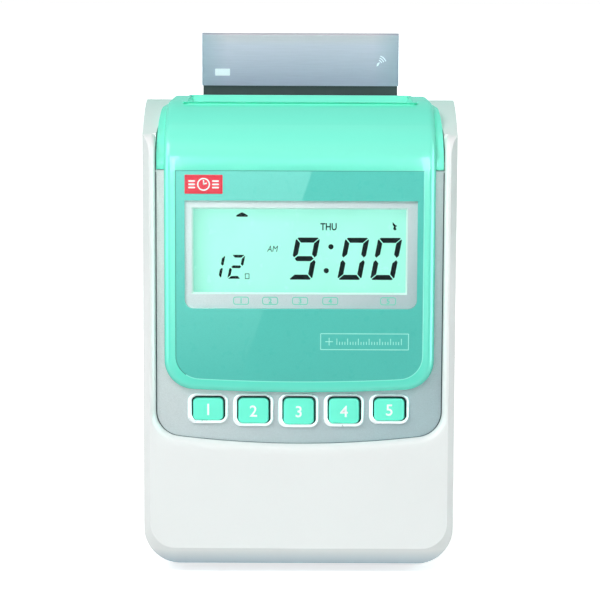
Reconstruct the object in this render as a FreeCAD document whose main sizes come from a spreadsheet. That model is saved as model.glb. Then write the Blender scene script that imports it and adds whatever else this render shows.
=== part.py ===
"""Date and time stamp machine: a card printer with a hinged cover, five keys and a docked time receiver.

Row frame in millimetres: +Z up, -Y towards the user, origin on the table under the middle of the machine.
"""
import FreeCAD, Part
import math
import os
from collections import namedtuple
from types import SimpleNamespace

import Sketcher

SIZES = {
    # case outline
    "half_depth": 58.0,
    "face_border": 2.8,
    "bevel_side": 3.3,
    "side_flare": 4.0,
    "bevel_rise": 8.7,
    "foot_height": 5.0,
    "face_corner": 12.0,
    "body_corner": 17.0,
    "bevel_depth": 7.0,
    "shell_wall": 2.5,
    "bevel_wall": 1.5,
    "front_wall": 3.4,
    "kink_rise": 6.6,
    "wall_step": 3.0,
    "wall_nose": 10.0,
    "wall_top_setback": 8.0,
    "rear_cover_depth": 6.0,
    "rear_cover_inset": 3.5,
    # openings of the case
    "flange_reach": 4.0,
    "opening_taper": 2.6,
    "opening_bottom": 63.2,
    "opening_bow": 465.0,
    "opening_corner": 12.0,
    "deck_depth": 25.0,
    "lip_round": 2.6,
    "deck_step": 6.0,
    "gutter_gap": 0.4,
    "gutter_inset": 9.1,
    "gutter_lip": 3.2,
    "gutter_step": 1.5,
    "foot_radius": 6.0,
    "foot_inset": 16.5,
    "foot_pad": 0.7,
    "foot_front_inset": 34.0,
    "foot_rear_inset": 18.0,
    # screws and their posts
    "screw_radius": 1.5,
    "screw_head_radius": 3.0,
    "screw_head_height": 1.1,
    "screw_length": 16.0,
    "post_radius": 5.0,
    "post_length": 22.0,
    "post_inset": 7.7,
    "post_low": 26.0,
    "post_drop": 28.0,
    # front panel and keys
    "panel_recess": 4.0,
    "panel_thick": 2.5,
    "panel_inset": 1.6,
    "panel_lap": 3.9,
    "window_head": 13.8,
    "panel_rim": 1.4,
    "key_pitch": 21.2,
    "key_rise": 15.6,
    "key_trim": 1000.0,
    "key_width": 14.5,
    "key_height": 12.8,
    "key_corner": 2.2,
    "key_gap": 0.6,
    "key_sunk": 0.6,
    "key_flange": 1.0,
    "key_flange_thick": 1.2,
    "key_travel": 1.0,
    "rim_side": 1.4,
    "rim_end": 0.9,
    "rim_proud": 1.2,
    "rim_round": 0.35,
    "cap_round": 0.6,
    "stem_radius": 1.7,
    "stem_length": 5.4,
    "switch_size": 6.0,
    "switch_height": 4.5,
    "switch_floor": 1.0,
    "board_thick": 1.6,
    "key_board_inset": 8.5,
    "key_board_margin": 11.5,
    "panel_post_inset": 3.0,
    "panel_post_radius": 2.4,
    "panel_post_rise": 8.5,
    # display
    "lcd_margin": 5.0,
    "lcd_edge": 2.2,
    "lcd_thick": 2.8,
    "lcd_lap": 1.0,
    "backlight_thick": 3.2,
    "holder_wall": 3.0,
    # hinged cover
    "seam_gap": 0.3,
    "side_gap": 0.4,
    "tongue_proud": 3.5,
    "tongue_overhang": 2.9,
    "tongue_rise": 8.8,
    "tongue_bow": 900.0,
    "tongue_corner": 14.0,
    "tongue_nose": 24.0,
    "tongue_round": 3.0,
    "hood_rise": 30.6,
    "cover_flat": 12.0,
    "hinge_overlap": 0.5,
    "cover_skirt": 13.0,
    "cover_wall": 2.2,
    "cheek_width": 4.0,
    "hinge_inset": 6.0,
    "hinge_drop": 3.0,
    "hinge_pin_radius": 2.0,
    "hinge_ear_radius": 4.5,
    "hinge_ear_width": 5.4,
    "hinge_boss_gap": 0.7,
    "hinge_pin_depth": 7.8,
    "window_margin": 5.3,
    "window_corner": 11.0,
    "window_recess": 1.2,
    "mask_margin_left": 4.4,
    "mask_margin_right": 3.1,
    "mask_rise": 34.4,
    "mask_height": 50.3,
    "mask_corner": 4.0,
    "mask_lap": 0.8,
    "mask_thick": 1.3,
    "display_margin": 7.6,
    "display_lap_low": 6.7,
    "display_lap_high": 3.3,
    "lens_inset": 0.1,
    # funnel and card channel
    "mouth_flare": 8.0,
    "mouth_depth": 49.5,
    "mouth_rim": 2.5,
    "mouth_round": 1.2,
    "throat_ease": 2.0,
    "throat_lead": 0.3,
    "funnel_depth": 16.0,
    "funnel_wall": 1.8,
    "channel_half": 43.5,
    "channel_depth": 5.0,
    "mouth_slope": 11.0,
    "rail_width": 8.5,
    "guide_thick": 1.8,
    "guide_rear_thick": 1.3,
    "guide_bottom": 24.0,
    "guide_gap": 3.0,
    "card_stop_height": 4.0,
    "platen_depth": 3.0,
    "platen_flange": 4.0,
    "platen_lip": 2.0,
    "sensor_width": 10.0,
    "sensor_depth": 4.0,
    "sensor_height": 6.0,
    "sensor_rise": 17.0,
    # mechanism frame
    "gear_bay": 8.0,
    "frame_thick": 1.5,
    "frame_setback": 18.0,
    "frame_gap": 1.0,
    "frame_foot": 10.0,
    "frame_lift": 1.3,
    "base_drop": 21.5,
    "pulley_gap": 1.5,
    "shelf_back": 6.0,
    # print carriage
    "rod_reach": 22.0,
    "rod_front_radius": 3.0,
    "rod_inset": 6.0,
    "rod_rear_radius": 2.5,
    "carriage_half": 16.0,
    "carriage_inset": 0.5,
    "carriage_overhang": 6.0,
    "carriage_drop": 7.0,
    "head_half": 11.0,
    "head_height": 8.0,
    "nose_half": 6.0,
    "nose_gap": 2.7,
    "print_drop": 9.0,
    "print_window": 6.0,
    "print_overrun": 2.5,
    "pulley_inset": 6.0,
    "pulley_radius": 5.0,
    "pulley_flange": 1.5,
    "pulley_height": 6.0,
    "pulley_lift": 2.0,
    "belt_thick": 1.0,
    "belt_width": 4.0,
    "belt_gap": 0.05,
    "spindle_radius": 1.5,
    "motor_radius": 12.0,
    "motor_height": 28.0,
    "spindle_depth": 9.0,
    # ribbon
    "cassette_setback": 14.5,
    "cassette_overhang": 10.0,
    "cassette_height": 10.0,
    "cassette_arm": 5.0,
    "ribbon_thick": 0.2,
    "ribbon_height": 11.0,
    "knob_radius": 7.0,
    "knob_height": 4.0,
    "knob_inset": 16.0,
    "knob_offset": 4.0,
    # card feed
    "feed_drop": 8.0,
    "feed_radius": 6.0,
    "feed_bite": 1.4,
    "feed_shaft_radius": 3.0,
    "roller_inner": 20.0,
    "roller_width": 10.0,
    "card_gap": 0.4,
    "pinch_radius": 7.0,
    "pinch_shaft_radius": 1.5,
    "pinch_overhang": 6.0,
    "pinch_ear": 2.0,
    "pinch_room": 1.6,
    "pinch_sheet": 1.6,
    "pinch_ear_half": 6.0,
    "gear_module": 0.8,
    "gear_teeth": 36.0,
    "pinion_teeth": 12.0,
    "gear_gap": 1.0,
    "gear_width": 4.0,
    "gear_backlash": 0.3,
    "feed_motor_angle": 60.0,
    "feed_motor_radius": 10.5,
    "feed_motor_length": 24.0,
    "bracket_gap": 7.0,
    "bracket_thick": 2.0,
    # electronics and power
    "main_board_gap": 4.0,
    "main_board_bottom": 22.0,
    "main_board_head": 6.0,
    "board_setback": 6.0,
    "standoff_radius": 3.0,
    "standoff_inset": 6.0,
    "standoff_low": 28.0,
    "standoff_drop": 9.4,
    "inlet_x": 40.0,
    "inlet_z": 44.0,
    "inlet_width": 22.0,
    "inlet_height": 15.0,
    "inlet_depth": 14.0,
    "supply_width": 42.0,
    "supply_depth": 29.0,
    "supply_height": 38.5,
    "supply_gap": 2.0,
    "supply_setback": 9.0,
    "battery_width": 46.0,
    "battery_depth": 28.0,
    "battery_height": 22.5,
    "battery_start": 2.0,
    "battery_setback": 10.0,
    "inlet_wall": 3.0,
    "inlet_blade": 1.2,
    "chip_width": 24.0,
    "chip_thick": 2.4,
    "can_radius": 5.0,
    "can_height": 14.0,
    "can_pitch": 16.0,
    "buzzer_radius": 6.5,
    "relay_size": 14.0,
    "plug_width": 24.0,
    "plug_height": 7.0,
    "vent_bottom": 70.0,
    "vent_pitch": 7.0,
    "vent_half": 32.0,
    "vent_height": 3.0,
    "vent_corner": 1.4,
    "keyhole_across": 40.0,
    "keyhole_drop": 48.0,
    "keyhole_radius": 4.0,
    "keyhole_slot": 2.0,
    "keyhole_length": 8.0,
    # cover lock
    "lock_lead": 19.0,
    "lock_drop": 41.0,
    "lock_radius": 7.5,
    "lock_flange": 9.0,
    "lock_plug_radius": 5.0,
    "lock_gap": 2.0,
    "lock_seat": 0.05,
    "lock_face": 0.4,
    "cam_length": 14.0,
    "cam_half": 3.0,
    "cam_thick": 1.3,
    "catch_gap": 5.0,
    "catch_width": 2.5,
    "catch_rise": 4.5,
    # docked time receiver
    "plate_overlap": 0.5,
    "receiver_setback": 19.5,
    "receiver_depth": 5.7,
    "receiver_drop": 0.5,
    "receiver_rise": 30.6,
    "receiver_wall": 1.5,
    "plate_half": 48.7,
    "plate_thick": 2.0,
    "plate_rise": 4.6,
    "plate_round": 1.6,
    "back_thick": 1.2,
    "pcb_half": 40.0,
    "pcb_low": 20.5,
    "pcb_high": 16.6,
    "aerial_drop": 8.6,
    "aerial_radius": 1.9,
    "aerial_half": 30.0,
    "dock_gap": 0.5,
    "dock_wall": 1.6,
    "running_fit": 0.05,
}

# sizes that follow from others
RELATIONS = {
    # across, outwards from the card channel
    "guide_half": "channel_half + rail_width",
    "frame_inner": "guide_half + gear_bay",
    "tongue_half": "frame_inner + tongue_overhang",
    "opening_half": "tongue_half + flange_reach",
    "face_half": "opening_half + face_border",
    "shoulder_half": "face_half + bevel_side",
    "rear_half": "shoulder_half + side_flare",
    "post_across": "rear_half - post_inset",
    "foot_across": "shoulder_half - foot_inset",
    "panel_half": "face_half - panel_inset",
    "window_half": "tongue_half - window_margin",
    "mask_left": "window_half - mask_margin_left",
    "mask_right": "window_half - mask_margin_right",
    "lcd_half": "window_half - lcd_margin",
    "display_half": "window_half - display_margin",
    "throat_half": "channel_half + throat_ease",
    "mouth_half": "throat_half + mouth_flare",
    "gutter_half": "opening_half - gutter_inset",
    "cassette_half": "guide_half",
    "print_half": "channel_half + print_overrun",
    "pulley_across": "guide_half - pulley_inset",
    "knob_across": "guide_half - knob_inset",
    "pinch_half": "roller_inner + roller_width + pinch_overhang",
    "gear_place": "guide_half + gear_gap",
    "feed_motor_end": "gear_place - bracket_gap",
    "feed_motor_start": "feed_motor_end - feed_motor_length",
    "main_board_half": "frame_inner - main_board_gap",
    "standoff_across": "main_board_half - standoff_inset",
    "key_board_half": "opening_half - key_board_inset",
    "panel_post_across": "key_board_half - panel_post_inset",
    "lock_inner": "frame_inner + frame_thick + lock_gap",
    # front to back
    "opening_back": "half_depth - deck_depth",
    "hinge_y": "opening_back - hinge_inset",
    "cover_back": "hinge_y - hinge_overlap",
    "mouth_back": "cover_back - mouth_rim",
    "mouth_front": "mouth_depth - mouth_back",
    "channel_back": "mouth_back - mouth_slope",
    "channel_front": "channel_back - channel_depth",
    "throat_front": "channel_front - throat_lead",
    "throat_back": "channel_back + throat_lead",
    "frame_back": "opening_back",
    "gutter_front": "hinge_y + gutter_gap",
    "frame_front": "half_depth - frame_setback",
    "rod_rear_y": "frame_front - rod_inset",
    "rod_front_y": "rod_reach - channel_front",
    "carriage_front": "frame_front - carriage_inset",
    "carriage_back": "rod_front_y - carriage_overhang",
    "nose_reach": "channel_front - nose_gap",
    "pulley_y": "(rod_front_y + rod_rear_y) / 2",
    "cassette_front": "half_depth - cassette_setback",
    "cassette_back": "rod_front_y - cassette_overhang",
    "knob_y": "pulley_y + knob_offset",
    "feed_y": "channel_back + feed_radius - feed_bite",
    "main_board_y": "frame_front - board_setback",
    "foot_front": "half_depth - foot_front_inset",
    "foot_rear": "half_depth - foot_rear_inset",
    "lock_y": "hinge_y - lock_lead",
    "catch_front": "lock_y + catch_gap",
    "receiver_front": "half_depth - receiver_setback",
    "receiver_half": "plate_half - plate_overlap",
    # upwards to the cover's top, then down again through the mechanism
    "face_bottom": "foot_height + bevel_rise",
    "panel_bottom": "opening_bottom - panel_lap",
    "key_row": "opening_bottom + key_rise",
    "tongue_bottom": "key_row + tongue_rise",
    "window_bottom": "tongue_bottom + window_margin",
    "mask_bottom": "window_bottom + mask_rise",
    "mask_top": "mask_bottom + mask_height",
    "display_bottom": "mask_bottom + display_lap_low",
    "display_top": "mask_top - display_lap_high",
    "lcd_bottom": "display_bottom - lcd_edge",
    "lcd_top": "display_top + lcd_edge",
    "panel_top": "mask_top + window_head",
    "kink_height": "panel_top + kink_rise",
    "cover_top": "panel_top + hood_rise",
    "wall_top": "cover_top - wall_step",
    "deck_height": "cover_top - deck_step",
    "hinge_z": "deck_height - hinge_drop",
    "throat_height": "cover_top - funnel_depth",
    "guide_top": "throat_height - guide_gap",
    "frame_top": "throat_height - frame_gap",
    "cassette_bottom": "guide_top - cassette_height",
    "print_height": "cassette_bottom - print_drop",
    "rod_height": "print_height - head_height",
    "shelf_height": "rod_height - carriage_drop - pulley_gap - pulley_height - pulley_lift - frame_thick",
    "feed_height": "shelf_height - feed_drop",
    "base_height": "feed_height - feed_motor_radius - base_drop",
    "main_board_top": "base_height - main_board_head",
    "standoff_high": "opening_bottom - standoff_drop",
    "post_high": "wall_top - post_drop",
    "keyhole_z": "wall_top - keyhole_drop",
    "lock_z": "hinge_z - lock_drop",
    "catch_bottom": "lock_z + catch_rise",
    "receiver_bottom": "feed_height - receiver_drop",
    "receiver_top": "cover_top + receiver_rise",
    "plate_bottom": "cover_top + plate_rise",
}


class Dim:
    """A size that knows both its value and the spreadsheet expression that gives it."""

    def __init__(self, value, text=None):
        self.value = float(value)
        self.text = text or f"({self.value!r})"

    def _join(self, other, sign, value):
        return Dim(value, f"({self.text} {sign} {other.text})")

    def __add__(self, other):
        other = dim(other)
        return self._join(other, "+", self.value + other.value)

    def __sub__(self, other):
        other = dim(other)
        return self._join(other, "-", self.value - other.value)

    def __mul__(self, other):
        other = dim(other)
        return self._join(other, "*", self.value * other.value)

    def __truediv__(self, other):
        other = dim(other)
        return self._join(other, "/", self.value / other.value)

    def __neg__(self):
        return Dim(-self.value, f"(0 - {self.text})")

    __radd__ = __add__
    __rmul__ = __mul__

    def __rsub__(self, other):
        return dim(other) - self

    def root(self):
        """The square root of this size."""
        return Dim(math.sqrt(self.value), f"sqrt({self.text})")


def dim(number):
    """A plain number as a Dim."""
    return number if isinstance(number, Dim) else Dim(number)


Arc = namedtuple("Arc", "centre_u centre_v radius turn")
ZERO = Dim(0)
ANTICLOCKWISE, CLOCKWISE = 1, -1

doc = FreeCAD.newDocument("TimeStampMachine")
sheet = doc.addObject("Spreadsheet::Sheet", "Sizes")
for row, (name, size) in enumerate(SIZES.items(), start=1):
    sheet.set(f"A{row}", name)
    sheet.set(f"B{row}", str(size))
    sheet.setAlias(f"B{row}", name)
for row, (name, relation) in enumerate(RELATIONS.items(), start=len(SIZES) + 1):
    sheet.set(f"A{row}", name)
    sheet.set(f"B{row}", f"={relation}")
    sheet.setAlias(f"B{row}", name)
doc.recompute()
S = SimpleNamespace(**{name: Dim(sheet.get(name), f"Sizes.{name}") for name in [*SIZES, *RELATIONS]})
NODES = []

# planes and edges that several pieces share
FRONT_Y = -S.half_depth
REAR_Y = S.half_depth
SHELL_BACK = REAR_Y - S.rear_cover_depth
PANEL_Y = FRONT_Y + S.panel_recess
PANEL_BACK = PANEL_Y + S.panel_thick
TONGUE_Y = PANEL_Y - S.tongue_proud
TONGUE_BACK = PANEL_Y - S.seam_gap
SEAM_Z = S.panel_top + S.seam_gap
FLOOR_Z = S.foot_height + S.shell_wall
KEY_FACE = PANEL_Y - S.rim_proud + S.key_sunk
FLANGE_FRONT = PANEL_BACK + S.seam_gap
FLANGE_BACK = FLANGE_FRONT + S.key_flange_thick
STEM_TIP = FLANGE_BACK + S.stem_length
SWITCH_FLOOR = STEM_TIP + S.key_travel + 0.6
KEY_BOARD_Y = SWITCH_FLOOR + S.switch_floor
LCD_FRONT = PANEL_BACK
LCD_BACK = LCD_FRONT + S.lcd_thick
BACKLIGHT_BACK = LCD_BACK + S.backlight_thick
FRAME_OUTER = S.frame_inner + S.frame_thick
GUIDE_FRONT = S.channel_front - S.guide_thick
GUIDE_BACK = S.channel_back + S.guide_rear_thick
PINCH_Y = S.feed_y - S.feed_radius - S.card_gap - S.pinch_radius
SHELF_TOP = S.shelf_height + S.frame_thick
PULLEY_BOTTOM = SHELF_TOP + S.pulley_lift
CARRIAGE_BOTTOM = S.rod_height - S.carriage_drop
CARRIAGE_TOP = S.rod_height + S.carriage_drop
MAIN_BOARD_FRONT = -S.main_board_y
RECEIVER_BACK = S.receiver_front + S.receiver_depth


# ---------------------------------------------------------------- helpers
def bind(item, **sizes):
    """Ties properties of an object to expressions; a double underscore in a name stands for a dot."""
    for name, size in sizes.items():
        item.setExpression(name.replace("__", "."), dim(size).text)


def node(item, label):
    """Registers a finished sub-part under its own name."""
    item.Label = label
    NODES.append(item)
    return item


def place(item, x, y, z):
    """Ties an object's place to expressions."""
    bind(item, Placement__Base__x=x, Placement__Base__y=y, Placement__Base__z=z)


def box(label, x, y, z):
    """A block between pairs of limits."""
    item = doc.addObject("Part::Box", label)
    bind(item, Length=x[1] - x[0], Width=y[1] - y[0], Height=z[1] - z[0])
    place(item, x[0], y[0], z[0])
    return item


TURNS = {
    "x": FreeCAD.Rotation(FreeCAD.Vector(0, 1, 0), 90),
    "y": FreeCAD.Rotation(FreeCAD.Vector(1, 0, 0), -90),
    "z": FreeCAD.Rotation(),
}


def rod(label, axis, across, radius, span):
    """A cylinder along one axis; across holds its place on the two other axes, in x, y, z order."""
    item = doc.addObject("Part::Cylinder", label)
    bind(item, Radius=radius, Height=span[1] - span[0])
    item.Placement = FreeCAD.Placement(FreeCAD.Vector(), TURNS[axis])
    corner = {"x": (span[0], *across), "y": (across[0], span[0], across[1]), "z": (*across, span[0])}
    place(item, *(dim(value) for value in corner[axis]))
    return item


def fuse(label, *pieces):
    """One solid out of several that meet."""
    item = doc.addObject("Part::MultiFuse", label)
    item.Shapes = list(pieces)
    return item


def group(label, *pieces):
    """Several separate solids that share one node."""
    item = doc.addObject("Part::Compound", label)
    item.Links = list(pieces)
    return item


def cut(label, base, *tools):
    """A solid with others taken away."""
    item = doc.addObject("Part::Cut", label)
    item.Base = base
    item.Tool = tools[0] if len(tools) == 1 else fuse(label + "_tools", *tools)
    return item


def both(*span):
    """The same limits on the left and on the right."""
    return [(-span[1], -span[0]), (span[0], span[1])]


def around(middle, half):
    """Limits at equal distances from a middle."""
    return (middle - half, middle + half)


def sketch_on(body, plane, offset, name):
    """A sketch on one of the body's own planes, moved along the plane's normal."""
    sketch = body.newObject("Sketcher::SketchObject", name)
    origin = [feature for feature in body.Origin.OriginFeatures if feature.Role == plane][0]
    sketch.AttachmentSupport = [(origin, "")]
    sketch.MapMode = "FlatFace"
    bind(sketch, AttachmentOffset__Base__z=dim(offset))
    return sketch


def pin(sketch, edge, end, u, v):
    """Holds one end of an edge at a place in the sketch."""
    for kind, size in (("DistanceX", u), ("DistanceY", v)):
        index = sketch.addConstraint(Sketcher.Constraint(kind, edge, end, size.value))
        sketch.setExpression(f"Constraints[{index}]", size.text)


def draw(sketch, corners):
    """Closes an outline. A corner is (u, v) where a line leaves it and (u, v, Arc) where an arc does."""
    edges = []
    for index, corner in enumerate(corners):
        start = FreeCAD.Vector(corner[0].value, corner[1].value, 0)
        following = corners[(index + 1) % len(corners)]
        end = FreeCAD.Vector(following[0].value, following[1].value, 0)
        if len(corner) == 2:
            edges.append((sketch.addGeometry(Part.LineSegment(start, end), False), 1, 2))
            pin(sketch, edges[-1][0], 1, corner[0], corner[1])
            continue
        arc = corner[2]
        centre = FreeCAD.Vector(arc.centre_u.value, arc.centre_v.value, 0)
        circle = Part.Circle(centre, FreeCAD.Vector(0, 0, 1), arc.radius.value)
        ends = (start, end) if arc.turn == ANTICLOCKWISE else (end, start)
        angles = [math.atan2(point.y - centre.y, point.x - centre.x) for point in ends]
        if angles[1] < angles[0]:
            angles[1] += 2 * math.pi
        edge = sketch.addGeometry(Part.ArcOfCircle(circle, *angles), False)
        edges.append((edge, 1, 2) if arc.turn == ANTICLOCKWISE else (edge, 2, 1))
        pin(sketch, edge, edges[-1][1], corner[0], corner[1])
        index = sketch.addConstraint(Sketcher.Constraint("Radius", edge, arc.radius.value))
        sketch.setExpression(f"Constraints[{index}]", arc.radius.text)
    for this, following in zip(edges, edges[1:] + edges[:1]):
        sketch.addConstraint(Sketcher.Constraint("Coincident", this[0], this[2], following[0], following[1]))


def ring(sketch, u, v, radius):
    """A circle at a place in the sketch."""
    circle = Part.Circle(FreeCAD.Vector(u.value, v.value, 0), FreeCAD.Vector(0, 0, 1), radius.value)
    edge = sketch.addGeometry(circle, False)
    pin(sketch, edge, 3, u, v)
    index = sketch.addConstraint(Sketcher.Constraint("Radius", edge, radius.value))
    sketch.setExpression(f"Constraints[{index}]", radius.text)


def rectangle(u, v):
    """The corners of a rectangle between pairs of limits."""
    return [(u[0], v[0]), (u[1], v[0]), (u[1], v[1]), (u[0], v[1])]


def rounded(u, v, radius):
    """The outline of a rectangle with equal round corners."""
    (left, right), (low, high) = u, v
    return [
        (left + radius, low),
        (right - radius, low, Arc(right - radius, low + radius, radius, ANTICLOCKWISE)),
        (right, low + radius),
        (right, high - radius, Arc(right - radius, high - radius, radius, ANTICLOCKWISE)),
        (right - radius, high),
        (left + radius, high, Arc(left + radius, high - radius, radius, ANTICLOCKWISE)),
        (left, high - radius),
        (left, low + radius, Arc(left + radius, low + radius, radius, ANTICLOCKWISE)),
    ]


def tub(half, bottom, corner, top):
    """A front view outline with a flat bottom, two round lower corners and a square top."""
    return [
        (corner - half, bottom),
        (half - corner, bottom, Arc(half - corner, bottom + corner, corner, ANTICLOCKWISE)),
        (half, bottom + corner),
        (half, top),
        (-half, top),
        (-half, bottom + corner, Arc(corner - half, bottom + corner, corner, ANTICLOCKWISE)),
    ]


def shield(half, bottom, bow, corner, top):
    """A front view outline whose bottom edge bows down and runs smoothly into its round corners."""
    side = half - corner
    reach = bow - corner
    corner_z = bottom + bow - (reach * reach - side * side).root()
    touch_x = side * bow / reach
    touch_z = bottom + bow + (corner_z - bottom - bow) * bow / reach
    return [
        (-touch_x, touch_z, Arc(ZERO, bottom + bow, bow, ANTICLOCKWISE)),
        (touch_x, touch_z, Arc(side, corner_z, corner, ANTICLOCKWISE)),
        (half, corner_z),
        (half, top),
        (-half, top),
        (-half, corner_z, Arc(-side, corner_z, corner, ANTICLOCKWISE)),
    ]


def hood_arcs(start_y, start_z, nose, end_y, end_z):
    """Two tangent arcs from a vertical start to a level end: nose centre, touch point, sweep centre, sweep radius."""
    nose_y = start_y + nose
    across = end_y - nose_y
    rise = end_z - start_z
    sweep = (across * across + rise * rise - nose * nose) / ((rise - nose) * 2)
    centre_z = end_z - sweep
    share = sweep / (sweep - nose)
    touch_y = end_y + (nose_y - end_y) * share
    touch_z = centre_z + (start_z - centre_z) * share
    return SimpleNamespace(nose_y=nose_y, nose_z=start_z, nose=nose, touch_y=touch_y, touch_z=touch_z,
                           centre_y=end_y, centre_z=centre_z, sweep=sweep)


def hood_line(arcs, inset):
    """The corners of a hood curve moved inwards, from its low front end to where it is level."""
    nose = arcs.nose - inset
    sweep = arcs.sweep - inset
    touch_y = arcs.nose_y + (arcs.touch_y - arcs.nose_y) * nose / arcs.nose
    touch_z = arcs.nose_z + (arcs.touch_z - arcs.nose_z) * nose / arcs.nose
    return [
        (arcs.nose_y - nose, arcs.nose_z, Arc(arcs.nose_y, arcs.nose_z, nose, CLOCKWISE)),
        (touch_y, touch_z, Arc(arcs.centre_y, arcs.centre_z, sweep, CLOCKWISE)),
        (arcs.centre_y, arcs.centre_z + sweep),
    ]


def reverse_line(corners):
    """The same open line walked the other way, with each arc kept between the same two corners."""
    turned = [corners[-1][:2]]
    for corner in reversed(corners[:-1]):
        if len(corner) == 3:
            arc = corner[2]
            turned[-1] = (*turned[-1][:2], arc._replace(turn=-arc.turn))
        turned.append(corner[:2])
    return turned


def pad(body, plane, offset, length, *outlines, both_ways=False, reversed_way=False, holes=()):
    """Adds an extrusion of outlines to a body."""
    feature = body.newObject("PartDesign::Pad", "Pad")
    return extrude(feature, body, plane, offset, length, outlines, holes, both_ways, reversed_way)


def pocket(body, plane, offset, length, *outlines, both_ways=False, reversed_way=False, holes=()):
    """Takes an extrusion of outlines and circles away from a body."""
    feature = body.newObject("PartDesign::Pocket", "Pocket")
    return extrude(feature, body, plane, offset, length, outlines, holes, both_ways, reversed_way)


def extrude(feature, body, plane, offset, length, outlines, holes, both_ways, reversed_way):
    """Draws the outlines and circles of a pad or pocket and sets its length and direction."""
    sketch = sketch_on(body, plane, offset, "Outline")
    for outline in outlines:
        draw(sketch, outline)
    for u, v, radius in holes:
        ring(sketch, u, v, radius)
    feature.Profile = sketch
    if both_ways:
        feature.SideType = "Symmetric"
    feature.Reversed = reversed_way
    bind(feature, Length=length)
    body.Tip = feature
    return feature


def loft(body, kind, sections, plane="XZ_Plane"):
    """A ruled loft through outlines on parallel planes, added to or taken from a body."""
    sketches = []
    for outline, offset in sections:
        sketches.append(sketch_on(body, plane, offset, "Section"))
        draw(sketches[-1], outline)
    feature = body.newObject(kind, "Loft")
    feature.Profile = sketches[0]
    feature.Sections = sketches[1:]
    feature.Ruled = True
    body.Tip = feature
    return feature


def new_body(label):
    """An empty body whose features follow."""
    return doc.addObject("PartDesign::Body", label)


def round_edges(body, radius, chosen):
    """Fillets the edges of a body's last feature that a test picks."""
    doc.recompute()
    base = body.Tip
    names = [f"Edge{number}" for number, edge in enumerate(base.Shape.Edges, start=1) if chosen(edge)]
    feature = body.newObject("PartDesign::Fillet", "Rounding")
    feature.Base = (base, names)
    bind(feature, Radius=radius)
    body.Tip = feature
    return feature


def middle(edge):
    """The point half way along an edge."""
    return edge.valueAt((edge.FirstParameter + edge.LastParameter) / 2)


def near(a, b, reach=0.02):
    """True where two numbers are the same place."""
    return abs(a - b) < reach


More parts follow.
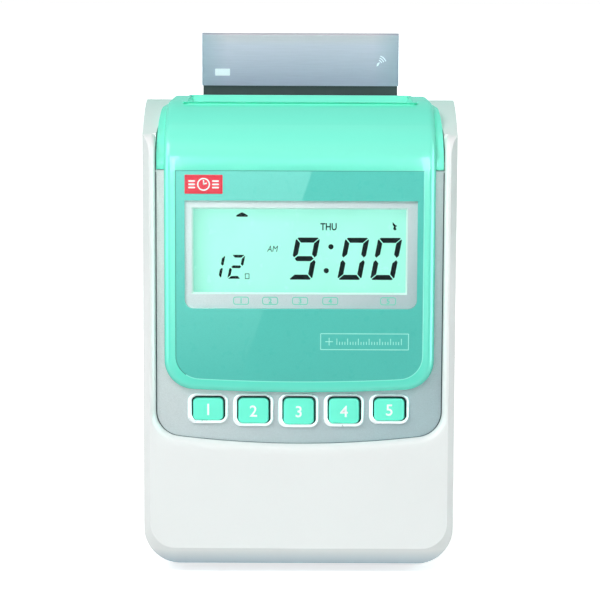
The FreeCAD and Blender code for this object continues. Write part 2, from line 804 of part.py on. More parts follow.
# ---------------------------------------------------------------- case
def build_housing():
    """The white shell: front face with its bevel, side walls, floor and the deck behind the cover."""
    body = new_body("housing")
    above = S.wall_top + S.foot_height
    shoulder_y = FRONT_Y + S.bevel_depth
    loft(body, "PartDesign::AdditiveLoft", [
        (tub(S.face_half, S.face_bottom, S.face_corner, above), -FRONT_Y),
        (tub(S.shoulder_half, S.foot_height, S.body_corner, above), -shoulder_y),
        (tub(S.rear_half, S.foot_height, S.body_corner, above), -SHELL_BACK),
    ])
    curve = hood_arcs(FRONT_Y, S.kink_height, S.wall_nose, REAR_Y - S.wall_top_setback, S.wall_top)
    beyond = REAR_Y + S.shell_wall
    over = above + S.shell_wall
    pocket(body, "YZ_Plane", ZERO, S.rear_half * 2 + S.shell_wall,
           [*hood_line(curve, ZERO), (beyond, S.wall_top), (beyond, over), (FRONT_Y - S.shell_wall, over),
            (FRONT_Y - S.shell_wall, S.kink_height)], both_ways=True)
    inner = S.shell_wall
    deck_under = S.deck_height - S.shell_wall
    inner_corner = S.body_corner - inner
    loft(body, "PartDesign::SubtractiveLoft", [
        (tub(S.face_half - S.bevel_wall, S.face_bottom + S.bevel_wall, S.face_corner - 1, S.kink_height - 4),
         -(FRONT_Y + S.front_wall)),
        (tub(S.shoulder_half - inner, FLOOR_Z, inner_corner, S.kink_height + 6), -(shoulder_y + 1)),
        (tub(S.rear_half - inner, FLOOR_Z, inner_corner, deck_under), -(SHELL_BACK + 1)),
    ])
    lid_half = S.opening_half - S.opening_taper
    pocket(body, "XZ_Plane", -FRONT_Y + 1, S.bevel_depth + 3,
           shield(S.opening_half, S.opening_bottom, S.opening_bow, S.opening_corner, over))
    round_edges(body, S.lip_round, on_front_lip)
    pocket(body, "XY_Plane", over, over - SEAM_Z,
           [(-S.opening_half, FRONT_Y - 1), (S.opening_half, FRONT_Y - 1), (S.opening_half, PANEL_Y),
            (lid_half, S.opening_back), (-lid_half, S.opening_back), (-S.opening_half, PANEL_Y)])
    pocket(body, "XY_Plane", over, over - S.deck_height,
           rectangle((-lid_half, lid_half), (S.opening_back - 1, beyond)))
    lip = S.deck_height - S.gutter_lip
    under = lip - S.shell_wall
    pad(body, "YZ_Plane", ZERO, S.gutter_half * 2,
        [(S.gutter_front, under), (S.opening_back + 1, under), (S.opening_back + 1, lip + S.gutter_step),
         (S.opening_back, lip + S.gutter_step), (S.gutter_front, lip)], both_ways=True)
    dock_half, dock_y, _ = dock_limits()
    pocket(body, "XY_Plane", over, over - deck_under + S.post_radius,
           rectangle((-dock_half, dock_half), dock_y))
    for side in (-1, 1):
        for height in (S.post_low, S.post_high):
            pad(body, "XZ_Plane", -SHELL_BACK, S.post_length, reversed_way=False,
                holes=[(S.post_across * side, height, S.post_radius)])
            pocket(body, "XZ_Plane", -SHELL_BACK, S.screw_length, reversed_way=True,
                   holes=[(S.post_across * side, height, S.screw_radius + S.running_fit)])
        for height in (S.standoff_low, S.standoff_high):
            pad(body, "XZ_Plane", S.main_board_y, S.half_depth - S.shell_wall - S.main_board_y + 0.5,
                holes=[(S.standoff_across * side, height, S.standoff_radius)])
        boss_x = hinge_boss_x()
        pad(body, "YZ_Plane", boss_x * side, S.rear_half - S.shell_wall - boss_x, reversed_way=side < 0,
            holes=[(S.hinge_y, S.hinge_z, S.hinge_ear_radius)])
        pocket(body, "YZ_Plane", (boss_x - 2) * side, S.hinge_pin_depth + 2, reversed_way=side > 0,
               holes=[(S.hinge_y, S.hinge_z, S.hinge_pin_radius + S.running_fit)])
        for y in (-S.foot_front, S.foot_rear):
            pad(body, "XY_Plane", S.foot_height, S.shell_wall,
                holes=[(S.foot_across * side, y, S.foot_radius + S.foot_pad)])
    pocket(body, "YZ_Plane", S.rear_half + 1, S.rear_half + 1 - S.lock_inner,
           holes=[(S.lock_y, S.lock_z, S.lock_radius + S.running_fit)])
    return node(body, "housing")


def on_front_lip(edge):
    """True on the bowed lower edge of the front opening and its two corners."""
    point = middle(edge)
    inside = abs(point.x) < S.opening_half.value - 0.1
    level = S.opening_bottom.value - 1 < point.z < S.opening_bottom.value + S.opening_corner.value + 6
    return near(point.y, FRONT_Y.value) and inside and level


def hinge_boss_x():
    """Where the housing's hinge bosses end, outside the cover's hinge ears."""
    share = (S.hinge_y - PANEL_Y) / (S.opening_back - PANEL_Y)
    return S.opening_half - S.opening_taper * share + S.hinge_boss_gap


def dock_limits():
    """The outer half width, depth limits and lowest height of the receiver's dock."""
    grow = S.dock_gap + S.dock_wall
    front = S.receiver_front - S.plate_thick - grow
    return S.plate_half + grow, (front, RECEIVER_BACK + S.back_thick + grow), S.receiver_bottom - S.dock_wall


def wall_at(y):
    """The outer half width of the side walls at a depth: they flare evenly from the bevel to the back."""
    start = FRONT_Y + S.bevel_depth
    return S.shoulder_half + S.side_flare * (y - start) / (SHELL_BACK - start)


def screw(label, x, z, head_y):
    """A tapping screw along Y whose head lies at the back."""
    shank = rod(label + "_shank", "y", (x, z), S.screw_radius, (head_y - S.screw_length, head_y))
    head = rod(label + "_head", "y", (x, z), S.screw_head_radius, (head_y, head_y + S.screw_head_height))
    return fuse(label, shank, head)


def build_rear_cover():
    """The pan that closes the back, with vents, two wall hanging keyholes and the inlet cut-out."""
    body = new_body("rear_cover")
    top = S.wall_top - 0.5
    inset = S.rear_cover_inset
    wall = S.shell_wall
    loft(body, "PartDesign::AdditiveLoft", [
        (tub(S.rear_half, S.foot_height, S.body_corner, top), -SHELL_BACK),
        (tub(S.rear_half - inset, S.foot_height + inset, S.body_corner - inset, top - inset), -REAR_Y),
    ])
    loft(body, "PartDesign::SubtractiveLoft", [
        (tub(S.rear_half - wall, S.foot_height + wall, S.body_corner - wall, top - wall), -(SHELL_BACK - 1)),
        (tub(S.rear_half - wall - 2, S.foot_height + wall + 2, S.body_corner - wall - 2, top - wall - 2),
         -(REAR_Y - wall)),
    ])
    vents = []
    for number in range(6):
        low = S.vent_bottom + S.vent_pitch * number
        vents.append(rounded(around(ZERO, S.vent_half), (low, low + S.vent_height), S.vent_corner))
    pocket(body, "XZ_Plane", -REAR_Y - 1, wall + 2, *vents, reversed_way=True)
    pocket(body, "XZ_Plane", -REAR_Y - 1, wall + 2,
           rectangle(around(S.inlet_x, S.inlet_width / 2), around(S.inlet_z, S.inlet_height / 2)), reversed_way=True)
    for side in (-1, 1):
        x = S.keyhole_across * side
        pocket(body, "XZ_Plane", -REAR_Y - 1, wall + 2, reversed_way=True,
               holes=[(x, S.keyhole_z, S.keyhole_radius)])
        pocket(body, "XZ_Plane", -REAR_Y - 1, wall + 2,
               rectangle(around(x, S.keyhole_slot), (S.keyhole_z, S.keyhole_z + S.keyhole_length)), reversed_way=True)
        for height in (S.post_low, S.post_high):
            x = S.post_across * side
            pocket(body, "XZ_Plane", -REAR_Y - 1, wall + 2, reversed_way=True,
                   holes=[(x, height, S.screw_radius + S.running_fit)])
            pocket(body, "XZ_Plane", -REAR_Y, S.screw_head_height, reversed_way=True,
                   holes=[(x, height, S.screw_head_radius + S.running_fit)])
    return node(body, "rear_cover")


def build_fasteners():
    """The feet, the hinge pins and the screws of the rear cover and of the key board."""
    feet = []
    for side in (-1, 1):
        for y in (-S.foot_front, S.foot_rear):
            feet.append(rod("foot", "z", (S.foot_across * side, y), S.foot_radius, (ZERO, S.foot_height)))
    node(group("rubber_feet", *feet), "rubber_feet")
    screws = []
    for side in (-1, 1):
        for height in (S.post_low, S.post_high):
            screws.append(screw("case_screw", S.post_across * side, height, REAR_Y - S.screw_head_height))
    node(group("case_screws", *screws), "case_screws")
    pins = []
    for side in (-1, 1):
        end = hinge_boss_x() + S.hinge_pin_depth
        span = (end - 15, end) if side > 0 else (-end, 15 - end)
        pins.append(rod("pin", "x", (S.hinge_y, S.hinge_z), S.hinge_pin_radius, span))
    node(group("hinge_pins", *pins), "hinge_pins")


# ---------------------------------------------------------------- front panel, keys and display
def key_places():
    """The middle and half height of each key: level tops, lower edges that follow the panel's bow."""
    for number in range(5):
        x = S.key_pitch * (number - 2)
        trim = x * x / (S.key_trim * 2)
        yield number + 1, x, S.key_row + trim, S.key_height / 2 - trim


def build_front_panel():
    """The silver panel: a plate with a raised border, five key rims and the display opening."""
    body = new_body("front_panel")
    upright = (S.panel_bottom, S.panel_top)
    pad(body, "XZ_Plane", -PANEL_BACK, S.panel_thick, rectangle((-S.panel_half, S.panel_half), upright))
    border = S.panel_recess - S.front_wall
    inner = S.opening_half + 0.3
    for side, limits in zip((-1, 1), both(inner, S.panel_half)):
        pad(body, "XZ_Plane", -PANEL_Y, border, rectangle(limits, upright))
    pad(body, "XZ_Plane", -PANEL_Y, border,
        rectangle((-S.panel_half, S.panel_half), (S.panel_bottom, S.panel_bottom + S.panel_rim)))
    rims = []
    windows = []
    for _, x, z, upward in key_places():
        half = S.key_width / 2 + S.key_gap
        tall = upward + S.key_gap
        corner = S.key_corner + S.key_gap
        windows.append(rounded(around(x, half), around(z, tall), corner))
        rims.append(rounded(around(x, half + S.rim_side), around(z, tall + S.rim_end), corner + S.rim_end))
    pad(body, "XZ_Plane", -PANEL_Y, S.rim_proud, *rims)
    pocket(body, "XZ_Plane", -PANEL_Y + S.rim_proud + 1, S.rim_proud + S.panel_thick + 2, *windows)
    lap = S.lcd_lap
    pocket(body, "XZ_Plane", -PANEL_Y + 1, S.panel_thick + 2,
           rectangle((lap - S.lcd_half, S.lcd_half - lap), (S.lcd_bottom + lap, S.lcd_top - lap)))
    posts = [(S.panel_post_across * side, S.key_row + S.panel_post_rise * up, S.panel_post_radius)
             for side in (-1, 1) for up in (-1, 1)]
    pad(body, "XZ_Plane", -KEY_BOARD_Y, KEY_BOARD_Y - PANEL_BACK, holes=posts)
    round_edges(body, S.rim_round, on_rim_front)
    return node(body, "front_panel")


def on_rim_front(edge):
    """True on the front edges of the key rims."""
    return near(middle(edge).y, (PANEL_Y - S.rim_proud).value)


def build_keys():
    """Five keys, each a cap with a retaining flange and a stem that enters its switch."""
    for number, x, z, tall in key_places():
        label = f"key_{number}"
        body = new_body(label)
        half = S.key_width / 2
        pad(body, "XZ_Plane", -FLANGE_FRONT, FLANGE_FRONT - KEY_FACE,
            rounded(around(x, half), around(z, tall), S.key_corner))
        round_edges(body, S.cap_round, on_cap_front)
        reach = S.key_gap + S.key_flange
        pad(body, "XZ_Plane", -FLANGE_BACK, S.key_flange_thick,
            rounded(around(x, half + reach), around(z, tall + reach), S.key_corner))
        pad(body, "XZ_Plane", -STEM_TIP, S.stem_length, holes=[(x, z, S.stem_radius)])
        node(body, label)


def on_cap_front(edge):
    """True on the front edges of a key cap."""
    return near(middle(edge).y, KEY_FACE.value)


def build_key_board():
    """The key board and its five tact switches, each with a guide bore for the key's stem."""
    upright = around(S.key_row, S.key_board_margin)
    board = box("key_board_plate", (-S.key_board_half, S.key_board_half),
                (KEY_BOARD_Y, KEY_BOARD_Y + S.board_thick), upright)
    node(board, "key_board")
    switches = []
    for _, x, z, _ in key_places():
        half = S.switch_size / 2
        block = box("switch", around(x, half), (KEY_BOARD_Y - S.switch_height, KEY_BOARD_Y), around(z, half))
        bore = rod("bore", "y", (x, z), S.stem_radius + S.running_fit,
                   (KEY_BOARD_Y - S.switch_height - 1, SWITCH_FLOOR))
        switches.append(cut("tact_switch", block, bore))
    node(group("tact_switches", *switches), "tact_switches")


def build_display():
    """The display glass behind the panel, its backlight, holder, board and flat cable."""
    across = (-S.lcd_half, S.lcd_half)
    upright = (S.lcd_bottom, S.lcd_top)
    node(box("glass", across, (LCD_FRONT, LCD_BACK), upright), "lcd_glass")
    node(box("light", across, (LCD_BACK, BACKLIGHT_BACK), upright), "lcd_backlight")
    wall = S.holder_wall
    outer = box("holder_outer", (-S.lcd_half - wall, S.lcd_half + wall), (PANEL_BACK, BACKLIGHT_BACK),
                (S.lcd_bottom - wall, S.lcd_top + wall))
    inner = box("holder_inner", across, (PANEL_BACK - 1, BACKLIGHT_BACK + 1), upright)
    node(cut("holder", outer, inner), "lcd_holder")
    board_back = BACKLIGHT_BACK + S.board_thick
    node(box("display_board", (-S.lcd_half - wall, S.lcd_half + wall), (BACKLIGHT_BACK, board_back),
             (S.lcd_bottom - wall - 2, S.lcd_top + wall)), "lcd_board")
    low = (MAIN_BOARD_FRONT.value, S.main_board_top.value)
    high = (board_back.value, S.lcd_bottom.value)
    thick = FreeCAD.Vector(0, 0.3, 0)
    corners = [FreeCAD.Vector(-10, low[0] - 0.3, low[1] - 8), FreeCAD.Vector(-10, low[0] - 0.3, low[1]),
               FreeCAD.Vector(-10, high[0], high[1] - 3), FreeCAD.Vector(-10, high[0], high[1] + 8)]
    corners += [corners[3] + thick, corners[2] + thick, corners[1] + thick, corners[0] + thick]
    cable = doc.addObject("Part::Feature", "cable")
    cable.Shape = Part.Face(Part.makePolygon(corners + corners[:1])).extrude(FreeCAD.Vector(20, 0, 0))
    node(cable, "display_cable")


# ---------------------------------------------------------------- hinged cover
def build_cover():
    """The green moulding: a front tongue, a hood over the mechanism, side cheeks and the card funnel."""
    body = new_body("top_cover")
    curve = hood_arcs(TONGUE_Y, SEAM_Z, S.tongue_nose, -S.cover_flat, S.cover_top)
    outer = hood_line(curve, ZERO)
    flange = hood_line(curve, S.tongue_proud)
    inner = hood_line(curve, S.tongue_proud + S.cover_wall)
    flange_top = S.cover_top - S.tongue_proud
    inner_top = flange_top - S.cover_wall
    skirt = S.cover_top - S.cover_skirt
    low = S.tongue_bottom - S.tongue_corner
    # tongue: a bent slab, cut to its bowed outline, with a round outer edge
    pad(body, "YZ_Plane", ZERO, S.tongue_half * 2,
        [(TONGUE_Y, low), *outer, (S.cover_back, S.cover_top), (S.cover_back, flange_top - 1),
         (flange[-1][0], flange_top - 1), *reverse_line(hood_line(curve, S.tongue_proud + 1))[1:-1],
         (TONGUE_BACK, SEAM_Z + 6), (TONGUE_BACK, low)], both_ways=True)
    wide = S.tongue_half + 5
    pocket(body, "XZ_Plane", -TONGUE_Y + 1, -TONGUE_Y + 1 + S.cover_back + 1,
           [(-wide, low - 5), (wide, low - 5), (wide, S.cover_top + 5), (-wide, S.cover_top + 5)],
           shield(S.tongue_half, S.tongue_bottom, S.tongue_bow, S.tongue_corner, S.cover_top + 4))
    round_edges(body, S.tongue_round, on_tongue_edge)
    # hood behind the tongue, then solid cheeks at both sides
    cover_half = S.opening_half - S.side_gap
    pad(body, "YZ_Plane", ZERO, cover_half * 2,
        [*flange, (S.cover_back, flange_top), (S.cover_back, skirt), (S.cover_back - S.cover_wall, skirt),
         (S.cover_back - S.cover_wall, inner_top), *reverse_line(inner)], both_ways=True)
    for side in (-1, 1):
        pad(body, "YZ_Plane", (cover_half - S.cheek_width) * side, S.cheek_width,
            [*flange, (S.cover_back, flange_top), (S.cover_back, skirt)], reversed_way=side < 0)
        ear_end = hinge_boss_x() - S.hinge_boss_gap - S.side_gap - 0.2
        pad(body, "YZ_Plane", (ear_end - S.hinge_ear_width) * side, S.hinge_ear_width,
            holes=[(S.hinge_y, S.hinge_z, S.hinge_ear_radius)], reversed_way=side < 0)
        # the cheek's outer face closes in towards the back, as the opening does
        taper = S.opening_taper * (S.cover_back + 6 - PANEL_Y) / (S.opening_back - PANEL_Y)
        pocket(body, "XY_Plane", S.cover_top + 1, S.cover_top + 2 - SEAM_Z,
               [(cover_half * side, PANEL_Y), ((cover_half + 3) * side, PANEL_Y),
                ((cover_half + 3) * side, S.cover_back + 6), ((cover_half - taper) * side, S.cover_back + 6)])
    pocket(body, "YZ_Plane", ZERO, S.opening_half * 2, both_ways=True,
           holes=[(S.hinge_y, S.hinge_z, S.hinge_pin_radius + S.running_fit)])
    # window recess and display opening
    pocket(body, "XZ_Plane", -TONGUE_Y, S.window_recess,
           shield(S.window_half, S.window_bottom, S.tongue_bow, S.window_corner, S.panel_top + 0.2))
    lap = S.mask_lap
    pocket(body, "XZ_Plane", -TONGUE_Y + 1, S.tongue_proud + 2,
           rectangle((-S.mask_left - lap, S.mask_right + lap), (S.mask_bottom - lap, S.mask_top + lap)))
    # funnel
    wall = S.funnel_wall
    mouth_y = (-S.mouth_front, S.mouth_back)
    throat_y = (S.throat_front, S.throat_back)
    grown_mouth = (mouth_y[0] - wall, mouth_y[1] + wall)
    grown_throat = (throat_y[0] - wall, throat_y[1] + wall)
    mouth_z = S.cover_top - 0.5
    loft(body, "PartDesign::AdditiveLoft", [
        (rectangle(around(ZERO, S.mouth_half + wall), grown_mouth), mouth_z),
        (rectangle(around(ZERO, S.throat_half + wall), grown_throat), S.throat_height),
    ], plane="XY_Plane")
    loft(body, "PartDesign::SubtractiveLoft", [
        (rectangle(around(ZERO, S.mouth_half), mouth_y), S.cover_top + 0.1),
        (rectangle(around(ZERO, S.throat_half), throat_y), S.throat_height - 0.5),
    ], plane="XY_Plane")
    # catch that the lock's cam holds
    pad(body, "YZ_Plane", S.lock_inner - 0.2, S.cam_thick,
        rectangle((S.catch_front, S.catch_front + S.catch_width), (S.catch_bottom, skirt)),
        reversed_way=True)
    return node(body, "top_cover")


def on_tongue_edge(edge):
    """True on the outer side edges of the tongue and on its front edge round the bottom."""
    point = middle(edge)
    at_side = near(abs(point.x), S.tongue_half.value)
    arcs = hood_arcs(TONGUE_Y, SEAM_Z, S.tongue_nose, -S.cover_flat, S.cover_top)
    if point.z < SEAM_Z.value + 0.1:
        return near(point.y, TONGUE_Y.value) and (at_side or point.z < S.tongue_bottom.value + 30)
    if near(point.z, S.cover_top.value):
        return at_side and point.y < S.cover_back.value - 0.1
    nose = math.hypot(point.y - arcs.nose_y.value, point.z - arcs.nose_z.value)
    sweep = math.hypot(point.y - arcs.centre_y.value, point.z - arcs.centre_z.value)
    return at_side and (near(nose, arcs.nose.value) or near(sweep, arcs.sweep.value))


def build_window():
    """The window plate with its opening, the mask frame behind it and the clear lens."""
    plate_back = TONGUE_Y + S.window_recess
    body = new_body("window_plate")
    pad(body, "XZ_Plane", -plate_back, S.window_recess,
        shield(S.window_half - 0.2, S.window_bottom + 0.2, S.tongue_bow, S.window_corner, S.panel_top))
    pocket(body, "XZ_Plane", -TONGUE_Y + 1, S.window_recess + 2, mask_outline(ZERO))
    node(body, "window_plate")
    frame = new_body("window_frame")
    lap = S.mask_lap - 0.1
    pad(frame, "XZ_Plane", -(plate_back + S.mask_thick), S.mask_thick,
        rectangle((-S.mask_left - lap, S.mask_right + lap), (S.mask_bottom - lap, S.mask_top + lap)))
    pocket(frame, "XZ_Plane", -plate_back + 1, S.mask_thick + 2,
           rectangle((-S.display_half, S.display_half), (S.display_bottom, S.display_top)))
    node(frame, "window_frame")
    lens = new_body("lcd_lens")
    pad(lens, "XZ_Plane", -plate_back, S.window_recess - S.lens_inset, mask_outline(S.lens_inset))
    node(lens, "lcd_lens")


def mask_outline(inset):
    """The window's clear area: square at the top, with small round lower corners."""
    left = inset - S.mask_left
    right = S.mask_right - inset
    low = S.mask_bottom + inset
    high = S.mask_top - inset
    corner = S.mask_corner
    return [
        (left + corner, low),
        (right - corner, low, Arc(right - corner, low + corner, corner, ANTICLOCKWISE)),
        (right, low + corner),
        (right, high),
        (left, high),
        (left, low + corner, Arc(left + corner, low + corner, corner, ANTICLOCKWISE)),
    ]


# ---------------------------------------------------------------- mechanism frame and card guides
def build_frame():
    """Two side plates with feet, the base plate with the feed motor's bracket, and the drive shelf."""
    depth = (-S.frame_front, S.frame_back)
    plates = []
    for side, limits in zip((-1, 1), both(S.frame_inner, FRAME_OUTER)):
        low = FLOOR_Z + S.frame_lift
        plate = box("side_plate", limits, depth, (low, S.frame_top))
        toe = S.frame_inner - S.frame_foot
        foot_x, pad_x = [both(toe, end)[(side + 1) // 2] for end in (S.frame_inner, toe + S.frame_foot / 2)]
        foot = box("side_foot", foot_x, depth, (low, low + S.frame_thick))
        foot_pad = box("side_pad", pad_x, depth, (FLOOR_Z, low + S.frame_thick))
        fit = S.running_fit
        span = (limits[0] - 1, limits[1] + 1)
        holes = [
            rod("hole", "x", (-S.rod_front_y, S.rod_height), S.rod_front_radius + fit, span),
            rod("hole", "x", (-S.rod_rear_y, S.rod_height), S.rod_rear_radius + fit, span),
            rod("hole", "x", (S.feed_y, S.feed_height), S.feed_shaft_radius + fit, span),
        ]
        plates.append(cut("side", fuse("side_folded", plate, foot, foot_pad), *holes))
    node(group("side_frames", *plates), "side_frames")
    inside = (-S.frame_inner, S.frame_inner)
    base = box("base_plate", inside, depth, (S.base_height, S.base_height + S.frame_thick))
    slot = box("base_slot", (-S.guide_half, S.guide_half), (GUIDE_FRONT, GUIDE_BACK),
               (S.base_height - 1, S.base_height + S.frame_thick + 1))
    notch = box("cable_notch", around(ZERO, Dim(12)), (-S.frame_front - 1, MAIN_BOARD_FRONT),
                (S.base_height - 1, S.base_height + S.frame_thick + 1))
    motor_y, motor_z = feed_motor_place()
    bracket = box("bracket", (S.feed_motor_end, S.feed_motor_end + S.bracket_thick),
                  around(motor_y, S.feed_motor_radius - 5), (S.base_height, motor_z + 5))
    shaft_hole = rod("bracket_hole", "x", (motor_y, motor_z), S.spindle_radius + 1,
                     (S.feed_motor_end - 1, S.feed_motor_end + S.bracket_thick + 1))
    node(cut("base", fuse("base_folded", base, bracket), slot, notch, shaft_hole), "frame_base")
    shelf = box("shelf_plate", inside, (-S.frame_front, -S.shelf_back), (S.shelf_height, SHELF_TOP))
    post = rod("idler_post", "z", (S.pulley_across, -S.pulley_y), S.spindle_radius,
               (S.shelf_height, PULLEY_BOTTOM + S.pulley_height + 1))
    hole = rod("shelf_hole", "z", (-S.pulley_across, -S.pulley_y), S.spindle_radius + S.running_fit,
               (S.shelf_height - 1, SHELF_TOP + 1))
    node(fuse("shelf", cut("shelf_bored", shelf, hole), post), "drive_shelf")


def build_guides():
    """The two card guide plates with their windows, the platen and the card sensor."""
    upright = (S.guide_bottom, S.guide_top)
    across = (-S.guide_half, S.guide_half)
    print_z = around(S.print_height, S.print_window)
    front = box("guide_front", across, (GUIDE_FRONT, S.channel_front), upright)
    cuts = [box("print_gap", (-S.print_half, S.print_half), (GUIDE_FRONT - 1, S.channel_front + 1), print_z)]
    for limits in both(S.roller_inner - 1, S.roller_inner + S.roller_width + 1):
        cuts.append(box("pinch_gap", limits, (GUIDE_FRONT - 1, S.channel_front + 1),
                        around(S.feed_height, S.pinch_radius + 1)))
    node(cut("front_guide", front, *cuts), "card_guide_front")
    rear = box("guide_rear", across, (S.channel_back, GUIDE_BACK), upright)
    rails = [box("rail", limits, (S.channel_front, S.channel_back), upright)
             for limits in both(S.channel_half, S.guide_half)]
    stop = box("card_stop", (-S.channel_half, S.channel_half), (S.channel_front, S.channel_back),
               (S.guide_bottom, S.guide_bottom + S.card_stop_height))
    gaps = [box("platen_gap", (-S.print_half, S.print_half), (S.channel_back - 1, GUIDE_BACK + 1), print_z)]
    for limits in both(S.roller_inner - 1, S.roller_inner + S.roller_width + 1):
        gaps.append(box("feed_gap", limits, (S.channel_back - 1, GUIDE_BACK + 1),
                        around(S.feed_height, S.feed_radius + 1)))
    rails_off = [box("rail_relief", limits, (S.channel_front - 1, S.channel_back), print_z)
                 for limits in both(S.channel_half, S.print_half)]
    node(cut("rear_guide", fuse("guide_and_rails", rear, *rails, stop), *gaps, *rails_off), "card_guide_rear")
    platen_back = GUIDE_BACK + S.platen_depth
    bar = box("platen_bar", around(ZERO, S.print_half - 0.1), (S.channel_back, platen_back),
              around(S.print_height, S.print_window - 0.1))
    flange = box("platen_flange", around(ZERO, S.print_half + S.platen_flange), (GUIDE_BACK, platen_back),
                 around(S.print_height, S.print_window + S.platen_lip))
    node(fuse("platen_bar_and_flange", bar, flange), "platen")
    node(box("sensor", around(ZERO, S.sensor_width / 2), (GUIDE_BACK, GUIDE_BACK + S.sensor_depth),
             around(S.feed_height + S.sensor_rise, S.sensor_height / 2)), "card_sensor")


# ---------------------------------------------------------------- print carriage and ribbon
def build_carriage():
    """The rods, the print carriage with its belt clamp, the print head, the belt and its two pulleys."""
    span = (-FRAME_OUTER, FRAME_OUTER)
    rods = [rod("rod", "x", (-S.rod_front_y, S.rod_height), S.rod_front_radius, span),
            rod("rod", "x", (-S.rod_rear_y, S.rod_height), S.rod_rear_radius, span)]
    node(group("carriage_rods", *rods), "carriage_rods")
    across = (-S.carriage_half, S.carriage_half)
    block = box("carriage_block", across, (-S.carriage_front, -S.carriage_back), (CARRIAGE_BOTTOM, CARRIAGE_TOP))
    run_y = -S.pulley_y - S.pulley_radius - S.belt_gap - S.belt_thick / 2
    prongs = []
    for way in (-1, 1):
        prongs.append(box("prong", (Dim(-3), Dim(3)), around(run_y + (S.belt_thick / 2 + 0.9) * way, Dim(0.5)),
                          (PULLEY_BOTTOM + 2, CARRIAGE_BOTTOM + 1)))
    through = (across[0] - 1, across[1] + 1)
    bores = [rod("bore", "x", (-S.rod_front_y, S.rod_height), S.rod_front_radius + S.running_fit, through),
             rod("bore", "x", (-S.rod_rear_y, S.rod_height), S.rod_rear_radius + S.running_fit, through)]
    node(cut("carriage", fuse("carriage_clamp", block, *prongs), *bores), "print_carriage")
    body = box("head_body", (-S.head_half, S.head_half), (10 - S.carriage_front, 2 - S.carriage_back),
               (CARRIAGE_TOP, CARRIAGE_TOP + S.head_height))
    nose = box("head_nose", (-S.nose_half, S.nose_half), (1 - S.carriage_back, S.nose_reach),
               around(S.print_height, S.print_window / 2))
    node(fuse("head", body, nose), "print_head")
    node(belt(), "carriage_belt")
    bottom = S.shelf_height - S.motor_height
    can = rod("motor_can", "z", (-S.pulley_across, -S.pulley_y), S.motor_radius, (bottom, S.shelf_height))
    socket = rod("motor_socket", "z", (-S.pulley_across, -S.pulley_y), S.spindle_radius + S.running_fit,
                 (S.shelf_height - S.spindle_depth - 1, S.shelf_height + 1))
    node(cut("carriage_motor_can", can, socket), "carriage_motor")
    spindle = rod("spindle", "z", (-S.pulley_across, -S.pulley_y), S.spindle_radius,
                  (S.shelf_height - S.spindle_depth, PULLEY_BOTTOM + 1))
    node(fuse("driven", pulley("motor_wheel", -S.pulley_across), spindle), "motor_pulley")
    bore = rod("idler_bore", "z", (S.pulley_across, -S.pulley_y), S.spindle_radius + S.running_fit,
               (PULLEY_BOTTOM - 1, PULLEY_BOTTOM + S.pulley_height + 1))
    node(cut("idler", pulley("idler_wheel", S.pulley_across), bore), "idler_pulley")


def pulley(label, x):
    """A belt wheel with a flange above and below the belt."""
    low = PULLEY_BOTTOM
    high = PULLEY_BOTTOM + S.pulley_height
    rim = (S.pulley_height - S.belt_width) / 2 - 0.2
    across = (x, -S.pulley_y)
    flange_radius = S.pulley_radius + S.pulley_flange
    return fuse(label, rod("wheel", "z", across, S.pulley_radius, (low, high)),
                rod("flange", "z", across, flange_radius, (low, low + rim)),
                rod("flange", "z", across, flange_radius, (high - rim, high)))


def belt():
    """The flat belt: an oval band round both pulleys."""
    low = PULLEY_BOTTOM + (S.pulley_height - S.belt_width) / 2
    inner = S.pulley_radius + S.belt_gap
    ovals = []
    for radius, spare in ((inner + S.belt_thick, ZERO), (inner, S.belt_thick)):
        span = (low - spare, low + S.belt_width + spare)
        across = (-S.pulley_across, S.pulley_across)
        run = box("belt_run", across, around(-S.pulley_y, radius), span)
        ends = [rod("belt_end", "z", (x, -S.pulley_y), radius, span) for x in across]
        ovals.append(fuse("belt_oval", run, *ends))
    return cut("belt", *ovals)


def build_ribbon():
    """The ribbon cassette with its two arms, the ribbon between them and the winding knob on top."""
    top = S.cassette_bottom + S.cassette_height
    case = box("cassette_case", around(ZERO, S.cassette_half), (-S.cassette_front, -S.cassette_back),
               (S.cassette_bottom, top))
    ribbon_front = GUIDE_FRONT - S.seam_gap - S.ribbon_thick
    arms = [box("arm", limits, (-S.cassette_back - 1, ribbon_front), (S.print_height - S.print_window, top))
            for limits in both(S.cassette_half - S.cassette_arm, S.cassette_half)]
    ears = [box("ear", limits, around(Dim(-24), Dim(5)), (S.cassette_bottom, S.cassette_bottom + 2))
            for limits in both(S.cassette_half - 1, S.frame_inner)]
    bore = rod("knob_bore", "z", (S.knob_across, -S.knob_y), S.spindle_radius + S.running_fit, (top - 6, top + 1))
    node(cut("cassette", fuse("cassette_arms", case, *arms, *ears), bore), "ribbon_cassette")
    node(box("band", around(ZERO, S.cassette_half - 2), (ribbon_front, ribbon_front + S.ribbon_thick),
             around(S.print_height, S.ribbon_height / 2)), "ribbon")
    low = top + S.seam_gap
    knob = rod("knob_disc", "z", (S.knob_across, -S.knob_y), S.knob_radius, (low, low + S.knob_height))
    stem = rod("knob_stem", "z", (S.knob_across, -S.knob_y), S.spindle_radius, (top - 5, low + 1))
    notches = []
    for number in range(10):
        angle = math.radians(36 * number)
        x = S.knob_across + S.knob_radius * math.cos(angle)
        y = S.knob_radius * math.sin(angle) - S.knob_y
        notches.append(rod("notch", "z", (x, y), Dim(0.9), (low - 1, low + S.knob_height + 1)))
    node(fuse("knob", cut("knob_grip", knob, *notches), stem), "ribbon_knob")


